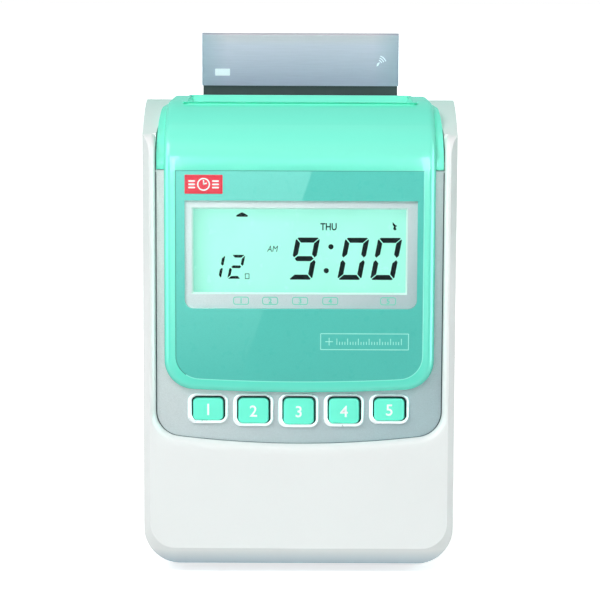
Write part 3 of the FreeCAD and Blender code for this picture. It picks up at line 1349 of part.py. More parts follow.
# ---------------------------------------------------------------- card feed
def feed_motor_place():
    """The feed motor's axis: one gear centre distance from the feed shaft, down and back."""
    reach = S.gear_module.value * (S.gear_teeth.value + S.pinion_teeth.value) / 2
    angle = math.radians(S.feed_motor_angle.value)
    spread = S.gear_module * (S.gear_teeth + S.pinion_teeth) / 2
    assert near(reach, spread.value)
    return S.feed_y + spread * math.cos(angle), S.feed_height - spread * math.sin(angle)


def toothed_wheel(label, y, z, teeth, bore, turn):
    """A spur wheel along X with trapezoid teeth; turn is the angle of its first tooth."""
    module = S.gear_module.value
    pitch = module * teeth / 2
    half = math.pi * module / 4 - S.gear_backlash.value / 2
    tip = pitch + 0.8 * module
    root = pitch - 1.15 * module
    points = []
    for number in range(teeth):
        middle_angle = turn + 2 * math.pi * number / teeth
        for radius, share in ((root, -1.45), (tip, -0.55), (tip, 0.55), (root, 1.45)):
            angle = middle_angle + share * half / pitch
            points.append(FreeCAD.Vector(0, radius * math.cos(angle), radius * math.sin(angle)))
    face = Part.Face(Part.makePolygon(points + points[:1]))
    solid = face.extrude(FreeCAD.Vector(S.gear_width.value, 0, 0))
    hole = Part.makeCylinder(bore, S.gear_width.value + 2, FreeCAD.Vector(-1, 0, 0), FreeCAD.Vector(1, 0, 0))
    wheel = doc.addObject("Part::Feature", label)
    wheel.Shape = solid.cut(hole)
    wheel.Placement = FreeCAD.Placement(FreeCAD.Vector(S.gear_place.value, y, z), FreeCAD.Rotation())
    return wheel


def build_feed():
    """The driven feed shaft with its rollers and gear, the sprung pinch roller, and the motor with its pinion."""
    fit = S.running_fit / 2
    shaft_at = (S.feed_y, S.feed_height)
    node(rod("shaft", "x", shaft_at, S.feed_shaft_radius, (-FRAME_OUTER, FRAME_OUTER)), "feed_shaft")
    rollers = []
    for limits in both(S.roller_inner, S.roller_inner + S.roller_width):
        tyre = rod("tyre", "x", shaft_at, S.feed_radius, limits)
        bore = rod("tyre_bore", "x", shaft_at, S.feed_shaft_radius + fit, (limits[0] - 1, limits[1] + 1))
        rollers.append(cut("feed_roller", tyre, bore))
    node(group("feed_rollers", *rollers), "feed_rollers")
    motor_y, motor_z = feed_motor_place()
    teeth = round(S.gear_teeth.value)
    small = round(S.pinion_teeth.value)
    towards = math.atan2(motor_z.value - S.feed_height.value, motor_y.value - S.feed_y.value)
    gear = toothed_wheel("gear", S.feed_y.value, S.feed_height.value, teeth,
                         S.feed_shaft_radius.value + fit.value, towards)
    node(gear, "feed_gear")
    back = towards + math.pi + math.pi / small
    pinion = toothed_wheel("pinion", motor_y.value, motor_z.value, small, S.spindle_radius.value + fit.value, back)
    node(pinion, "feed_pinion")
    end = S.gear_place + S.gear_width
    node(rod("motor_shaft", "x", (motor_y, motor_z), S.spindle_radius,
             (S.feed_motor_end - S.spindle_depth, end)), "feed_motor_shaft")
    can = rod("feed_can", "x", (motor_y, motor_z), S.feed_motor_radius, (S.feed_motor_start, S.feed_motor_end))
    socket = rod("feed_socket", "x", (motor_y, motor_z), S.spindle_radius + S.running_fit,
                 (S.feed_motor_end - S.spindle_depth - 1, S.feed_motor_end + 1))
    node(cut("feed_motor_can", can, socket), "feed_motor")
    pinch_at = (PINCH_Y, S.feed_height)
    spindle = rod("pinch_spindle", "x", pinch_at, S.pinch_shaft_radius, (-S.pinch_half, S.pinch_half))
    wheels = [rod("pinch_wheel", "x", pinch_at, S.pinch_radius, limits)
              for limits in both(S.roller_inner, S.roller_inner + S.roller_width)]
    node(fuse("pinch", spindle, *wheels), "pinch_roller")
    ears = []
    inner = S.pinch_half - S.pinch_ear
    plate_front = PINCH_Y - S.pinch_radius - S.pinch_room
    upright = around(S.feed_height, S.pinch_ear_half)
    for limits in both(inner, S.pinch_half):
        ears.append(box("pinch_ear", limits, (plate_front - S.pinch_sheet, GUIDE_FRONT), upright))
    back_plate = box("pinch_back", around(ZERO, S.pinch_half), (plate_front - S.pinch_sheet, plate_front), upright)
    hole = rod("pinch_hole", "x", pinch_at, S.pinch_shaft_radius + S.running_fit,
               (-S.pinch_half - 1, S.pinch_half + 1))
    node(cut("pinch_holder", fuse("pinch_frame", back_plate, *ears), hole), "pinch_bracket")


# ---------------------------------------------------------------- electronics
def build_electronics():
    """The main board with its parts, the power module, the backup battery and the mains inlet."""
    board_back = MAIN_BOARD_FRONT + S.board_thick
    node(box("board", around(ZERO, S.main_board_half), (MAIN_BOARD_FRONT, board_back),
             (S.main_board_bottom, S.main_board_top)), "main_board")
    top = S.main_board_top
    low = S.main_board_bottom
    edge = S.main_board_half
    plug_x = (S.standoff_inset - edge, S.standoff_inset - edge + S.plug_width)
    relay_z = (low + S.chip_width, low + S.chip_width + S.relay_size)
    row_z = relay_z[0] - S.chip_thick
    parts = [
        box("processor", around(ZERO, S.chip_width / 2), (board_back, board_back + S.chip_thick),
            around((top + low) / 2 + S.plug_height, S.chip_width / 2)),
        box("driver", (S.chip_width, S.chip_width * 1.7), (board_back, board_back + S.chip_thick),
            around((top + low) / 2, S.chip_width / 4)),
        box("connector", plug_x, (board_back, board_back + S.plug_height),
            (top - S.plug_height * 3, top - S.plug_height * 2)),
        box("relay", (plug_x[0], plug_x[0] + S.relay_size), (board_back, board_back + S.relay_size), relay_z),
        rod("buzzer", "y", (edge - S.can_pitch, row_z), S.buzzer_radius, (board_back, board_back + S.plug_height)),
        rod("capacitor", "y", (-S.can_pitch / 2, row_z), S.can_radius, (board_back, board_back + S.can_height)),
        rod("capacitor", "y", (S.can_pitch / 2, row_z), S.can_radius, (board_back, board_back + S.can_height)),
    ]
    node(group("board_parts", *parts), "board_parts")
    supply_x = S.frame_foot + S.supply_gap - S.frame_inner
    supply_back = REAR_Y - S.supply_setback
    node(box("supply", (supply_x, supply_x + S.supply_width), (supply_back - S.supply_depth, supply_back),
             (FLOOR_Z, FLOOR_Z + S.supply_height)), "power_module")
    cells_back = REAR_Y - S.battery_setback
    node(box("cells", (S.battery_start, S.battery_start + S.battery_width), (cells_back - S.battery_depth, cells_back),
             (FLOOR_Z, FLOOR_Z + S.battery_height)), "backup_battery")
    width = around(S.inlet_x, S.inlet_width / 2 - 0.1)
    height = around(S.inlet_z, S.inlet_height / 2 - 0.1)
    face = REAR_Y - 0.2
    body = box("inlet_body", width, (face - S.inlet_depth, face), height)
    inside = REAR_Y - S.shell_wall
    rim = S.inlet_wall
    flange = box("inlet_flange", (width[0] - rim, width[1] + rim), (inside - rim * 0.7, inside),
                 (height[0] - rim, height[1] + rim))
    hollow = box("inlet_hollow", (width[0] + rim, width[1] - rim), (face - S.inlet_depth + rim, face + 1),
                 (height[0] + rim, height[1] - rim))
    pins = [rod("blade", "y", (S.inlet_x + S.inlet_width / 5 * side, S.inlet_z), S.inlet_blade,
                (face - S.inlet_depth + rim / 2, face - rim)) for side in (-1, 1)]
    shell = cut("inlet_shell", fuse("inlet_block", body, flange), hollow)
    node(fuse("inlet", shell, *pins), "power_inlet")


# ---------------------------------------------------------------- cover lock
def build_lock():
    """The lock in the right side wall: a fixed barrel, its nut, and the turning plug with its cam."""
    at = (S.lock_y, S.lock_z)
    seat = wall_at(S.lock_y + S.lock_flange) + S.lock_seat
    front = seat + S.lock_face
    barrel = rod("barrel", "x", at, S.lock_radius, (S.lock_inner, seat))
    flange = rod("barrel_flange", "x", at, S.lock_flange, (seat, front))
    bore = rod("barrel_bore", "x", at, S.lock_plug_radius + S.running_fit, (S.lock_inner - 1, front + 1))
    node(cut("lock_body", fuse("barrel_and_flange", barrel, flange), bore), "lock_barrel")
    plug = rod("plug", "x", at, S.lock_plug_radius, (S.lock_inner - 0.2 - S.cam_thick, front - 0.2))
    cam = box("cam", (S.lock_inner - 0.2 - S.cam_thick, S.lock_inner - 0.2),
              (S.lock_y - S.cam_length, S.lock_y), around(S.lock_z, S.cam_half))
    slot = box("key_slot", (front - 3, front), around(S.lock_y, Dim(0.6)), around(S.lock_z, Dim(3)))
    node(cut("plug_slotted", fuse("plug_and_cam", plug, cam), slot), "lock_plug")
    nut_x = (seat - S.shell_wall - 4.5, seat - S.shell_wall - 1.5)
    ring_out = rod("nut_ring", "x", at, S.lock_radius + 2.5, nut_x)
    ring_in = rod("nut_bore", "x", at, S.lock_radius + S.running_fit / 2, (nut_x[0] - 1, nut_x[1] + 1))
    node(cut("nut", ring_out, ring_in), "lock_nut")


# ---------------------------------------------------------------- docked time receiver
def build_receiver():
    """The receiver's dock, dark body, bright front plate, back and board with its antenna bar."""
    dock_half, dock_y, dock_low = dock_limits()
    wall = S.dock_wall
    sleeve = box("sleeve", around(ZERO, dock_half), dock_y, (dock_low, S.deck_height))
    room = box("room", around(ZERO, dock_half - wall), (dock_y[0] + wall, dock_y[1] - wall),
               (S.receiver_bottom, S.deck_height + 1))
    node(cut("dock", sleeve, room), "receiver_dock")
    across = around(ZERO, S.receiver_half)
    top = S.receiver_top - 1
    outer = box("receiver_outer", across, (S.receiver_front, RECEIVER_BACK), (S.receiver_bottom, top))
    inner_wall = S.receiver_wall
    hollow = box("receiver_hollow", around(ZERO, S.receiver_half - inner_wall),
                 (S.receiver_front + inner_wall, RECEIVER_BACK + 1), (S.receiver_bottom + inner_wall, top - inner_wall))
    node(cut("receiver_tray", outer, hollow), "receiver_body")
    node(box("receiver_lid", across, (RECEIVER_BACK, RECEIVER_BACK + S.back_thick), (S.receiver_bottom, top)),
         "receiver_back")
    plate = new_body("receiver_plate")
    pad(plate, "XZ_Plane", -S.receiver_front, S.plate_thick,
        rectangle(around(ZERO, S.plate_half), (S.plate_bottom, S.receiver_top)))
    round_edges(plate, S.plate_round, on_plate_top)
    node(plate, "receiver_plate")
    board_y = (RECEIVER_BACK - S.board_thick, RECEIVER_BACK)
    board = box("receiver_pcb", around(ZERO, S.pcb_half), board_y,
                (S.receiver_bottom + S.pcb_low, S.receiver_top - S.pcb_high))
    aerial_y = S.receiver_front + S.receiver_wall + S.aerial_radius
    antenna = rod("antenna_bar", "x", (aerial_y, S.receiver_top - S.aerial_drop), S.aerial_radius,
                  around(ZERO, S.aerial_half))
    node(group("receiver_electronics", board, antenna), "receiver_board")


def on_plate_top(edge):
    """True on the front plate's upper front edge."""
    point = middle(edge)
    return near(point.z, S.receiver_top.value) and near(point.y, (S.receiver_front - S.plate_thick).value)


def main():
    """Builds every sub-part, checks the document and writes one STEP file for each node."""
    build_housing()
    build_rear_cover()
    build_fasteners()
    build_front_panel()
    build_keys()
    build_key_board()
    build_display()
    build_cover()
    build_window()
    build_frame()
    build_guides()
    build_carriage()
    build_ribbon()
    build_feed()
    build_electronics()
    build_lock()
    build_receiver()
    doc.recompute()
    failed = [item.Name for item in doc.Objects if {"Invalid", "Error"} & set(item.State)]
    if failed:
        raise RuntimeError(f"objects that failed: {failed}")
    for item in NODES:
        if item.Shape.isNull() or not item.Shape.isValid():
            raise RuntimeError(f"{item.Label} has no valid shape")
    os.makedirs("parts", exist_ok=True)
    for item in NODES:
        item.Shape.exportStep(f"parts/{item.Label}.step")
    print(f"{len(NODES)} nodes written")


main()
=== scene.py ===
import logging
import math
from collections.abc import Iterable
from dataclasses import dataclass, field
from enum import Enum
from functools import cached_property, lru_cache, reduce

import bmesh
import bpy
import numpy as np
from mathutils import Matrix, Vector


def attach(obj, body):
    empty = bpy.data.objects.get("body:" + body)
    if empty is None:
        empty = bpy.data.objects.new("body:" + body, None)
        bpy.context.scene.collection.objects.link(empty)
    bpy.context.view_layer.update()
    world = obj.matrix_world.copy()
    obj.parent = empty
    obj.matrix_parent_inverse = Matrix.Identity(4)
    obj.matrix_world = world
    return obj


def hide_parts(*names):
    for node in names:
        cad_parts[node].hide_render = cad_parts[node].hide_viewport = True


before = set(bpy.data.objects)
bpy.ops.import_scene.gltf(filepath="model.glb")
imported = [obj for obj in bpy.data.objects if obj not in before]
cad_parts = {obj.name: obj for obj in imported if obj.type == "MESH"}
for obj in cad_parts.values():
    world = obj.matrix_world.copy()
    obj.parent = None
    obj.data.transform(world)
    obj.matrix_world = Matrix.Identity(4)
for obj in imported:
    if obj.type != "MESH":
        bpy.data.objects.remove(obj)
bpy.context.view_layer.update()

# A desk time clock that stamps the date and time on a card: a white case, a mint hinged cover with
# a glossy window plate, a liquid crystal display, five keys, a lock in the right flank and a slate
# radio receiver in a dock behind the cover.  Surfaces are laid out in millimetres; materials, lamps
# and the camera are in metres.  Noise mostly keeps within NOISE_SPAN, and a wave texture at scale 1
# repeats every WAVE_PERIOD.

LOG = logging.getLogger("time_clock")
MM = 0.001
NOISE_SPAN = (0.3, 0.7)
WAVE_PERIOD = 0.31
Shade = tuple[int, int, int]
Colour = tuple[float, float, float, float]
Pair = tuple[float, float]
Triple = tuple[float, float, float]
Points = np.ndarray
Socket = bpy.types.NodeSocket


class Body(Enum):
    """The bodies that new pieces ride on; a key then rides on the button of its own number."""

    BASE = "base"
    COVER = "cover"
    RECEIVER = "receiver"


class Slot(Enum):
    """The part's material slots by name; no piece here is put in one."""

    RUBBER = "foot_rubber"
    PANEL = "silver_panel"
    MASK = "silver_mask"
    CRYSTAL = "lcd_grey"
    COVER = "mint_cover"
    WINDOW = "teal_plate"
    BRASS = "brass_gear"
    PLATE = "blue_grey"
    KEY = "aqua_key"


class Axis(Enum):
    """The direction along which a finish is drawn out, as its pattern's scale on each axis."""

    ALONG_X = (0.04, 1.0, 1.0)
    ALONG_Z = (1.0, 1.0, 0.04)


# -------------------------------------------------------------------------- colour and node graph
def linear(shade: Shade) -> Colour:
    """Turns an 8-bit screen colour into the linear one that shaders use.

    Args:
        shade: red, green and blue from 0 to 255.

    Returns:
        Linear red, green and blue, and 1 for full cover.
    """
    parts = [channel / 255 for channel in shade]
    return (*(part / 12.92 if part <= 0.04045 else ((part + 0.055) / 1.055) ** 2.4
              for part in parts), 1.0)


def toned(shade: Shade, factor: float, lift: float = 0.0) -> Colour:
    """A linear colour made darker or lighter: factor * part + lift, held at 1."""
    red, green, blue, _ = (min(1.0, factor * part + lift) for part in linear(shade))
    return red, green, blue, 1.0


class Graph:
    """The node tree of one material, or of the sky, laid down step by step."""

    def __init__(self, name: str, shelf: object = None) -> None:
        """Starts an empty tree.

        Args:
            name: what the material or sky is called.
            shelf: the collection that it is made in, or None for the materials.
        """
        self.holder = (bpy.data.materials if shelf is None else shelf).new(name)
        self.holder.use_nodes = True
        self.nodes = self.holder.node_tree.nodes
        self.links = self.holder.node_tree.links
        self.nodes.clear()

    @cached_property
    def spot(self) -> Socket:
        """The object coordinates."""
        return self.step("ShaderNodeTexCoord").outputs["Object"]

    def step(self, kind: str, sockets: dict | None = None, **settings: object) -> bpy.types.Node:
        """Adds a node.

        Args:
            kind: the node's type.
            sockets: values or output sockets for its inputs, by name or number.
            settings: the node's own properties.

        Returns:
            The new node.
        """
        node = self.nodes.new(kind)
        for key, value in settings.items():
            setattr(node, key, value)
        for key, value in (sockets or {}).items():
            if isinstance(value, Socket):
                self.links.new(value, node.inputs[key])
            else:
                node.inputs[key].default_value = value
        return node

    def noise(self, grain: float, detail: float = 2.0, run: Axis | None = None) -> Socket:
        """Soft random patches.

        Args:
            grain: the size of a patch in metres.
            detail: how many finer layers are added.
            run: the direction in which the patches are drawn out.

        Returns:
            A socket that runs around 0.5.
        """
        where = self.spot
        if run is not None:
            where = self.step("ShaderNodeMapping", {"Vector": where, "Scale": run.value}).outputs[0]
        return self.step("ShaderNodeTexNoise", {"Vector": where, "Scale": 1 / grain,
                                                "Detail": detail}).outputs[0]

    def cells(self, size: float) -> Socket:
        """A random colour for each small cell; size is a cell's width in metres."""
        return self.step("ShaderNodeTexVoronoi", {"Vector": self.spot,
                                                  "Scale": 1 / size}).outputs["Color"]

    def ramp(self, value: Socket, start: float, stop: float, low: float, high: float) -> Socket:
        """Maps start..stop to low..high, held at both ends."""
        return self.step("ShaderNodeMapRange", {"Value": value, "From Min": start, "From Max": stop,
                                                "To Min": low, "To Max": high}).outputs[0]

    def math(self, operation: str, first: object, second: object = 0.0) -> Socket:
        """One sum on two numbers or sockets."""
        return self.step("ShaderNodeMath", {0: first, 1: second}, operation=operation).outputs[0]

    def chain(self, operation: str, *values: object) -> Socket:
        """The same sum on several numbers or sockets, from left to right."""
        return reduce(lambda first, second: self.math(operation, first, second), values)

    def fades(self, value: Socket, ramps: tuple) -> Socket:
        """The product of several ramps of one value, each with its start, stop, low and high."""
        return self.chain("MULTIPLY", *(self.ramp(value, *ends) for ends in ramps))

    def blend(self, share: object, first: object, second: object, mode: str = "MIX") -> Socket:
        """Mixes two linear colours or sockets by a rule, with this share of the second."""
        return self.step("ShaderNodeMix", {0: share, 6: first, 7: second}, data_type="RGBA",
                         blend_type=mode).outputs[2]

    def shaded(self, colour: Socket, share: Socket) -> Socket:
        """A colour times a number."""
        grey = self.step("ShaderNodeCombineColor", {0: share, 1: share, 2: share}).outputs[0]
        return self.blend(1.0, colour, grey, "MULTIPLY")

    def height(self, axis: int) -> Socket:
        """The object coordinate along one axis, 0 to 2."""
        return self.step("ShaderNodeSeparateXYZ", {0: self.spot}).outputs[axis]

    def length(self, across: Socket, up: Socket) -> Socket:
        """The length of a flat vector with these two parts."""
        both = self.step("ShaderNodeCombineXYZ", {0: across, 1: up}).outputs[0]
        return self.step("ShaderNodeVectorMath", {0: both}, operation="LENGTH").outputs[1]

    def bump(self, relief: Socket, depth: float) -> Socket:
        """A normal from a relief whose full swing is depth metres."""
        return self.step("ShaderNodeBump", {"Height": relief, "Distance": depth}).outputs[0]

    def close(self, shader: Socket) -> bpy.types.Material:
        """Sends a shader to the surface output and hands the material back."""
        self.step("ShaderNodeOutputMaterial", {"Surface": shader})
        return self.holder


# -------------------------------------------------------------------------- finishes
@dataclass(frozen=True)
class Finish:
    """A finish: its colour, its gloss and the fine relief that breaks them up.

    The relief is noise in patches grain metres wide, drawn out along run where there is one, and
    its full swing is depth metres; a smooth finish has a depth of 0.
    """

    name: str
    colour: Shade
    roughness: float = 0.5
    metallic: float = 0.0
    coat: float = 0.0
    coat_roughness: float = 0.06
    specular: float = 0.5
    grain: float = 0.0012
    detail: float = 2.0
    depth: float = 0.00001
    run: Axis | None = None
    drift: float = 0.03
    tone: float = 0.94
    marks: float = 0.004
    handling: Pair = (0.88, 1.12)

    def paint(self, graph: Graph) -> Socket:
        """The colour, which drifts to another tone in patches."""
        return graph.blend(graph.noise(self.drift), toned(self.colour, self.tone),
                           linear(self.colour))

    def gloss(self, graph: Graph) -> Socket:
        """The roughness, with fine handling marks."""
        low, high = (self.roughness * share for share in self.handling)
        return graph.ramp(graph.noise(self.marks), *NOISE_SPAN, low, high)

    def relief(self, graph: Graph) -> Socket | None:
        """The normal, or nothing on a smooth finish.

        Args:
            graph: the material's tree.

        Returns:
            The normal's socket, or None.
        """
        if not self.depth:
            return None
        return graph.bump(graph.noise(self.grain, self.detail, self.run), self.depth)

    def shader(self, graph: Graph) -> bpy.types.Node:
        """The main shader with all its sockets set.

        Args:
            graph: the material's tree.

        Returns:
            The shader's node.
        """
        skin = graph.step("ShaderNodeBsdfPrincipled", {
            "Base Color": self.paint(graph), "Roughness": self.gloss(graph),
            "Metallic": self.metallic, "Specular IOR Level": self.specular,
            "Coat Weight": self.coat, "Coat Roughness": self.coat_roughness})
        normal = self.relief(graph)
        if normal is not None:
            graph.links.new(normal, skin.inputs["Normal"])
        return skin

    def material(self) -> bpy.types.Material:
        """The material that this finish makes."""
        graph = Graph(self.name)
        return graph.close(self.shader(graph).outputs[0])


@dataclass(frozen=True)
class Moulded(Finish):
    """Injection-moulded plastic: eroded grain, a slow tone drift, perhaps painted shade at the
    foot.
    """

    grain: float = 0.0006
    detail: float = 3.0
    depth: float = 0.000012
    drift: float = 0.045
    tone: float = 0.97
    # A painted shade: below the first height of the fade the colour is this darker shade, above the
    # second it is the colour itself.
    lowest: Shade | None = None
    fade: Pair = (0.0, 0.1)

    def paint(self, graph: Graph) -> Socket:
        """The drifting colour, which fades downwards to a darker painted shade if there is one.

        Args:
            graph: the material's tree.

        Returns:
            The colour's socket.
        """
        drifting = super().paint(graph)
        if self.lowest is None:
            return drifting
        return graph.blend(graph.ramp(graph.height(2), *self.fade, 0, 1), linear(self.lowest),
                           drifting)


@dataclass(frozen=True)
class Lipped(Moulded):
    """The case's white: moulded grain, and the soft round along the foot of the panel's opening.

    The opening is bounded below by a circle of radius bow and, at its corners, by circles of radius
    corner; the round sinks by sink * (1 - gap / reach) ** 2 at a distance gap outside that line,
    and it fades out between the two heights of ends.
    """

    half: float = 0.0669
    foot: float = 0.0632
    bow: float = 0.465
    corner: float = 0.012
    reach: float = 0.0050
    sink: float = 0.0012
    ends: Pair = (0.076, 0.090)

    def gap(self, graph: Graph) -> Socket:
        """How far outside the opening's outline a point lies, in metres.

        Args:
            graph: the material's tree.

        Returns:
            The distance's socket.
        """
        side, span = self.half - self.corner, self.bow - self.corner
        corner_z = self.foot + self.bow - math.sqrt(span * span - side * side)
        across = graph.math("ABSOLUTE", graph.height(0))
        down = graph.math("SUBTRACT", self.foot + self.bow, graph.height(2))
        below = graph.math("MAXIMUM", graph.math("SUBTRACT", corner_z, graph.height(2)), 0.0)
        foot_gap = graph.math("SUBTRACT", graph.length(across, down), self.bow)
        beyond = graph.math("SUBTRACT", across, side)
        corner_gap = graph.math("SUBTRACT", graph.length(beyond, below), self.corner)
        at_corner = graph.math("GREATER_THAN", across, side * self.bow / span)
        return graph.step("ShaderNodeMix", {0: at_corner, 2: foot_gap, 3: corner_gap}).outputs[0]

    def relief(self, graph: Graph) -> Socket:
        """The lip's round under the moulded grain.

        Args:
            graph: the material's tree.

        Returns:
            The normal's socket.
        """
        near = graph.ramp(self.gap(graph), 0.0, self.reach, 1, 0)
        low = graph.ramp(graph.height(2), *self.ends, 1, 0)
        dip = graph.chain("MULTIPLY", graph.math("POWER", near, 2.0), low, -1.0)
        lip = graph.bump(dip, self.sink)
        fine = graph.noise(self.grain, self.detail)
        return graph.step("ShaderNodeBump", {"Height": fine, "Distance": self.depth,
                                             "Normal": lip}).outputs[0]


@dataclass(frozen=True)
class Lacquered(Finish):
    """Lacquer over flakes of about 0.2 mm, in a base with painted shade from low to colour with
    height.

    Its fine relief is the slight orange peel of sprayed lacquer.
    """

    grain: float = 0.0015
    detail: float = 1.0
    depth: float = 0.000006
    # Painted shade: low, bottom, top and lean darken the base towards its foot and, where lean is
    # above 0, towards its right.
    low: Shade = (184, 200, 204)
    flake: float = 0.00022
    spread: float = 0.07
    bottom: float = 0.06
    top: float = 0.19
    lean: float = 0.0

    def paint(self, graph: Graph) -> Socket:
        """The base in painted shade, darker at its foot and leaning darker to one side, with each
        flake a little lighter or darker.

        Args:
            graph: the material's tree.

        Returns:
            The colour's socket.
        """
        # Painted shade: the height that sets the shade, tipped to one side by lean.
        shade_tilt = graph.math("MULTIPLY", graph.height(0), self.lean)
        shade_height = graph.math("SUBTRACT", graph.height(2), shade_tilt)
        base = graph.blend(graph.ramp(shade_height, self.bottom, self.top, 0, 1),
                           linear(self.low), linear(self.colour))
        flake = graph.step("ShaderNodeSeparateColor", {0: graph.cells(self.flake)}).outputs[0]
        return graph.shaded(base, graph.ramp(flake, 0, 1, 1 - self.spread, 1 + self.spread))


@dataclass(frozen=True)
class Graded(Moulded):
    """A plate with painted shade falling from its top edge to its foot and to its ends, a painted
    highlight under its top edge and a fine even grain.
    """

    # Painted shade and highlight: the plate darkens to low at its foot and to ends at both ends,
    # and pales under its top edge.
    low: Shade = (154, 173, 191)
    rim: Shade = (206, 213, 220)
    ends: Shade = (140, 156, 172)
    end_fade: tuple = (0.036, 0.0487, 0, 0.75)
    rim_fade: Pair = (-0.002, 0.001)
    bottom: float = 0.226
    top: float = 0.2485
    brush: float = 0.0006
    brushing: Pair = (0.96, 1.03)

    def paint(self, graph: Graph) -> Socket:
        """The colour in painted shade, with a painted highlight under its top edge, deeper at its
        ends, slightly brushed.

        Args:
            graph: the material's tree.

        Returns:
            The colour's socket.
        """
        up = graph.height(2)
        base = graph.blend(graph.ramp(up, self.bottom, self.top, 0, 1),
                           linear(self.low), linear(self.colour))
        below, above = (self.top + step for step in self.rim_fade)
        base = graph.blend(graph.ramp(up, below, above, 0, 1), base, linear(self.rim))
        end = graph.math("ABSOLUTE", graph.height(0))
        base = graph.blend(graph.ramp(end, *self.end_fade), base, linear(self.ends))
        streak = graph.noise(self.brush, 2.0, Axis.ALONG_X)
        return graph.shaded(base, graph.ramp(streak, *NOISE_SPAN, *self.brushing))


@dataclass(frozen=True)
class Metal(Finish):
    """Bare or plated metal, brushed or turned in fine lines along run."""

    metallic: float = 1.0
    grain: float = 0.0004
    depth: float = 0.000008
    run: Axis = Axis.ALONG_X
    tone: float = 0.8
    spangle: float = 0.0
    spangle_share: float = 0.18

    def paint(self, graph: Graph) -> Socket:
        """The metal's colour, streaked along its lines, with zinc spangle where it has some.

        Args:
            graph: the material's tree.

        Returns:
            The colour's socket.
        """
        streaked = graph.blend(graph.noise(self.grain, 3.0, self.run),
                               toned(self.colour, self.tone), linear(self.colour))
        if not self.spangle:
            return streaked
        return graph.blend(self.spangle_share, streaked, graph.cells(self.spangle), "SOFT_LIGHT")


@dataclass(frozen=True)
class Rubbery(Finish):
    """Rubber with a pebbled, slightly dusty skin."""

    grain: float = 0.0005
    detail: float = 3.0
    depth: float = 0.00003
    drift: float = 0.006
    bloom: tuple = (0.45, 0.75, 0, 0.6)
    tone: float = 1.5
    lift: float = 0.01

    def paint(self, graph: Graph) -> Socket:
        """The rubber's colour with paler bloom in patches."""
        return graph.blend(graph.ramp(graph.noise(self.drift, 4.0), *self.bloom),
                           linear(self.colour), toned(self.colour, self.tone, self.lift))


@dataclass(frozen=True)
class Circuit(Finish):
    """A circuit board: an uneven green mask over fine copper tracks."""

    grain: float = 0.002
    detail: float = 4.0
    depth: float = 0.00002
    drift: float = 0.01
    pitch: float = 0.0024
    tracks_apart: float = 8.0
    joint: float = 0.03
    stripe: Shade = (34, 112, 70)
    copper: Shade = (92, 158, 98)

    def paint(self, graph: Graph) -> Socket:
        """Tracks run in stepped lines a little paler than the mask.

        Args:
            graph: the material's tree.

        Returns:
            The colour's socket.
        """
        tracks = graph.step("ShaderNodeTexBrick", {
            "Vector": graph.spot, "Scale": 1 / (self.tracks_apart * self.pitch),
            "Mortar Size": self.joint, "Color1": linear(self.colour),
            "Color2": linear(self.stripe), "Mortar": linear(self.copper)})
        return graph.blend(graph.noise(self.drift), tracks.outputs[0], linear(self.colour))


@dataclass(frozen=True)
class Woven(Finish):
    """Inked nylon fabric: two sets of threads crossing at right angles."""

    depth: float = 0.00005
    drift: float = 0.002
    thread: float = 0.00018
    lower: Shade = (120, 22, 30)
    shine: Shade = (58, 56, 62)
    shine_share: float = 0.35
    split: float = 0.184

    def paint(self, graph: Graph) -> Socket:
        """Black above, red below, each thread catching the light.

        Args:
            graph: the material's tree.

        Returns:
            The colour's socket.
        """
        halves = graph.blend(graph.math("GREATER_THAN", graph.height(2), self.split),
                             linear(self.lower), linear(self.colour))
        share = graph.ramp(graph.noise(self.drift), *NOISE_SPAN, 0, self.shine_share)
        return graph.blend(share, halves, linear(self.shine))

    def relief(self, graph: Graph) -> Socket:
        """The over and under of the threads.

        Args:
            graph: the material's tree.

        Returns:
            The normal's socket.
        """
        weave = []
        for direction in ("X", "Z"):
            wave = graph.step("ShaderNodeTexWave", {"Vector": graph.spot,
                                                    "Scale": WAVE_PERIOD / self.thread},
                              bands_direction=direction)
            weave.append(wave.outputs[1])
        return graph.bump(graph.chain("MAXIMUM", *weave), self.depth)


@dataclass(frozen=True)
class Crystal(Finish):
    """The liquid crystal cell: lit partly by its backlight and partly by painted glow, with a
    painted shadow of the mask at its left and the polariser's soft gloss.
    """

    depth: float = 0.0
    # Partly painted light: the glow lifts the shade on the cell as well as standing for its
    # backlight, and own dims the base to suit.
    glow: float = 0.76
    own: float = 0.36
    # Painted shadow: the mask's shadow, in the dusk colour, within fade of the left edge.
    left: float = -0.0500
    fade: float = 0.012
    ease: float = 1.6
    dusk: Shade = (146, 224, 202)
    drift: float = 0.02
    cloud_share: float = 0.25

    def paint(self, graph: Graph) -> Socket:
        """Even, with a painted shadow of the mask along the left edge.

        Args:
            graph: the material's tree.

        Returns:
            The colour's socket.
        """
        share = graph.ramp(graph.height(0), self.left, self.left + self.fade, 1, 0)
        shadow_share = graph.math("POWER", share, self.ease)
        cloud = graph.ramp(graph.noise(self.drift, 1.0), *NOISE_SPAN, 0, self.cloud_share)
        cloudy = graph.blend(cloud, linear(self.colour), linear(self.dusk))
        return graph.blend(shadow_share, cloudy, linear(self.dusk))

    def shader(self, graph: Graph) -> bpy.types.Node:
        """The cell's glow: partly its backlight, partly painted light that lifts the shade on it.

        Args:
            graph: the material's tree.

        Returns:
            The shader's node.
        """
        skin = super().shader(graph)
        source = skin.inputs["Base Color"].links[0].from_socket
        graph.links.new(source, skin.inputs["Emission Color"])
        skin.inputs["Emission Strength"].default_value = self.glow
        shade = graph.blend(1.0, source, (self.own, self.own, self.own, 1.0), "MULTIPLY")
        graph.links.new(shade, skin.inputs["Base Color"])
        return skin


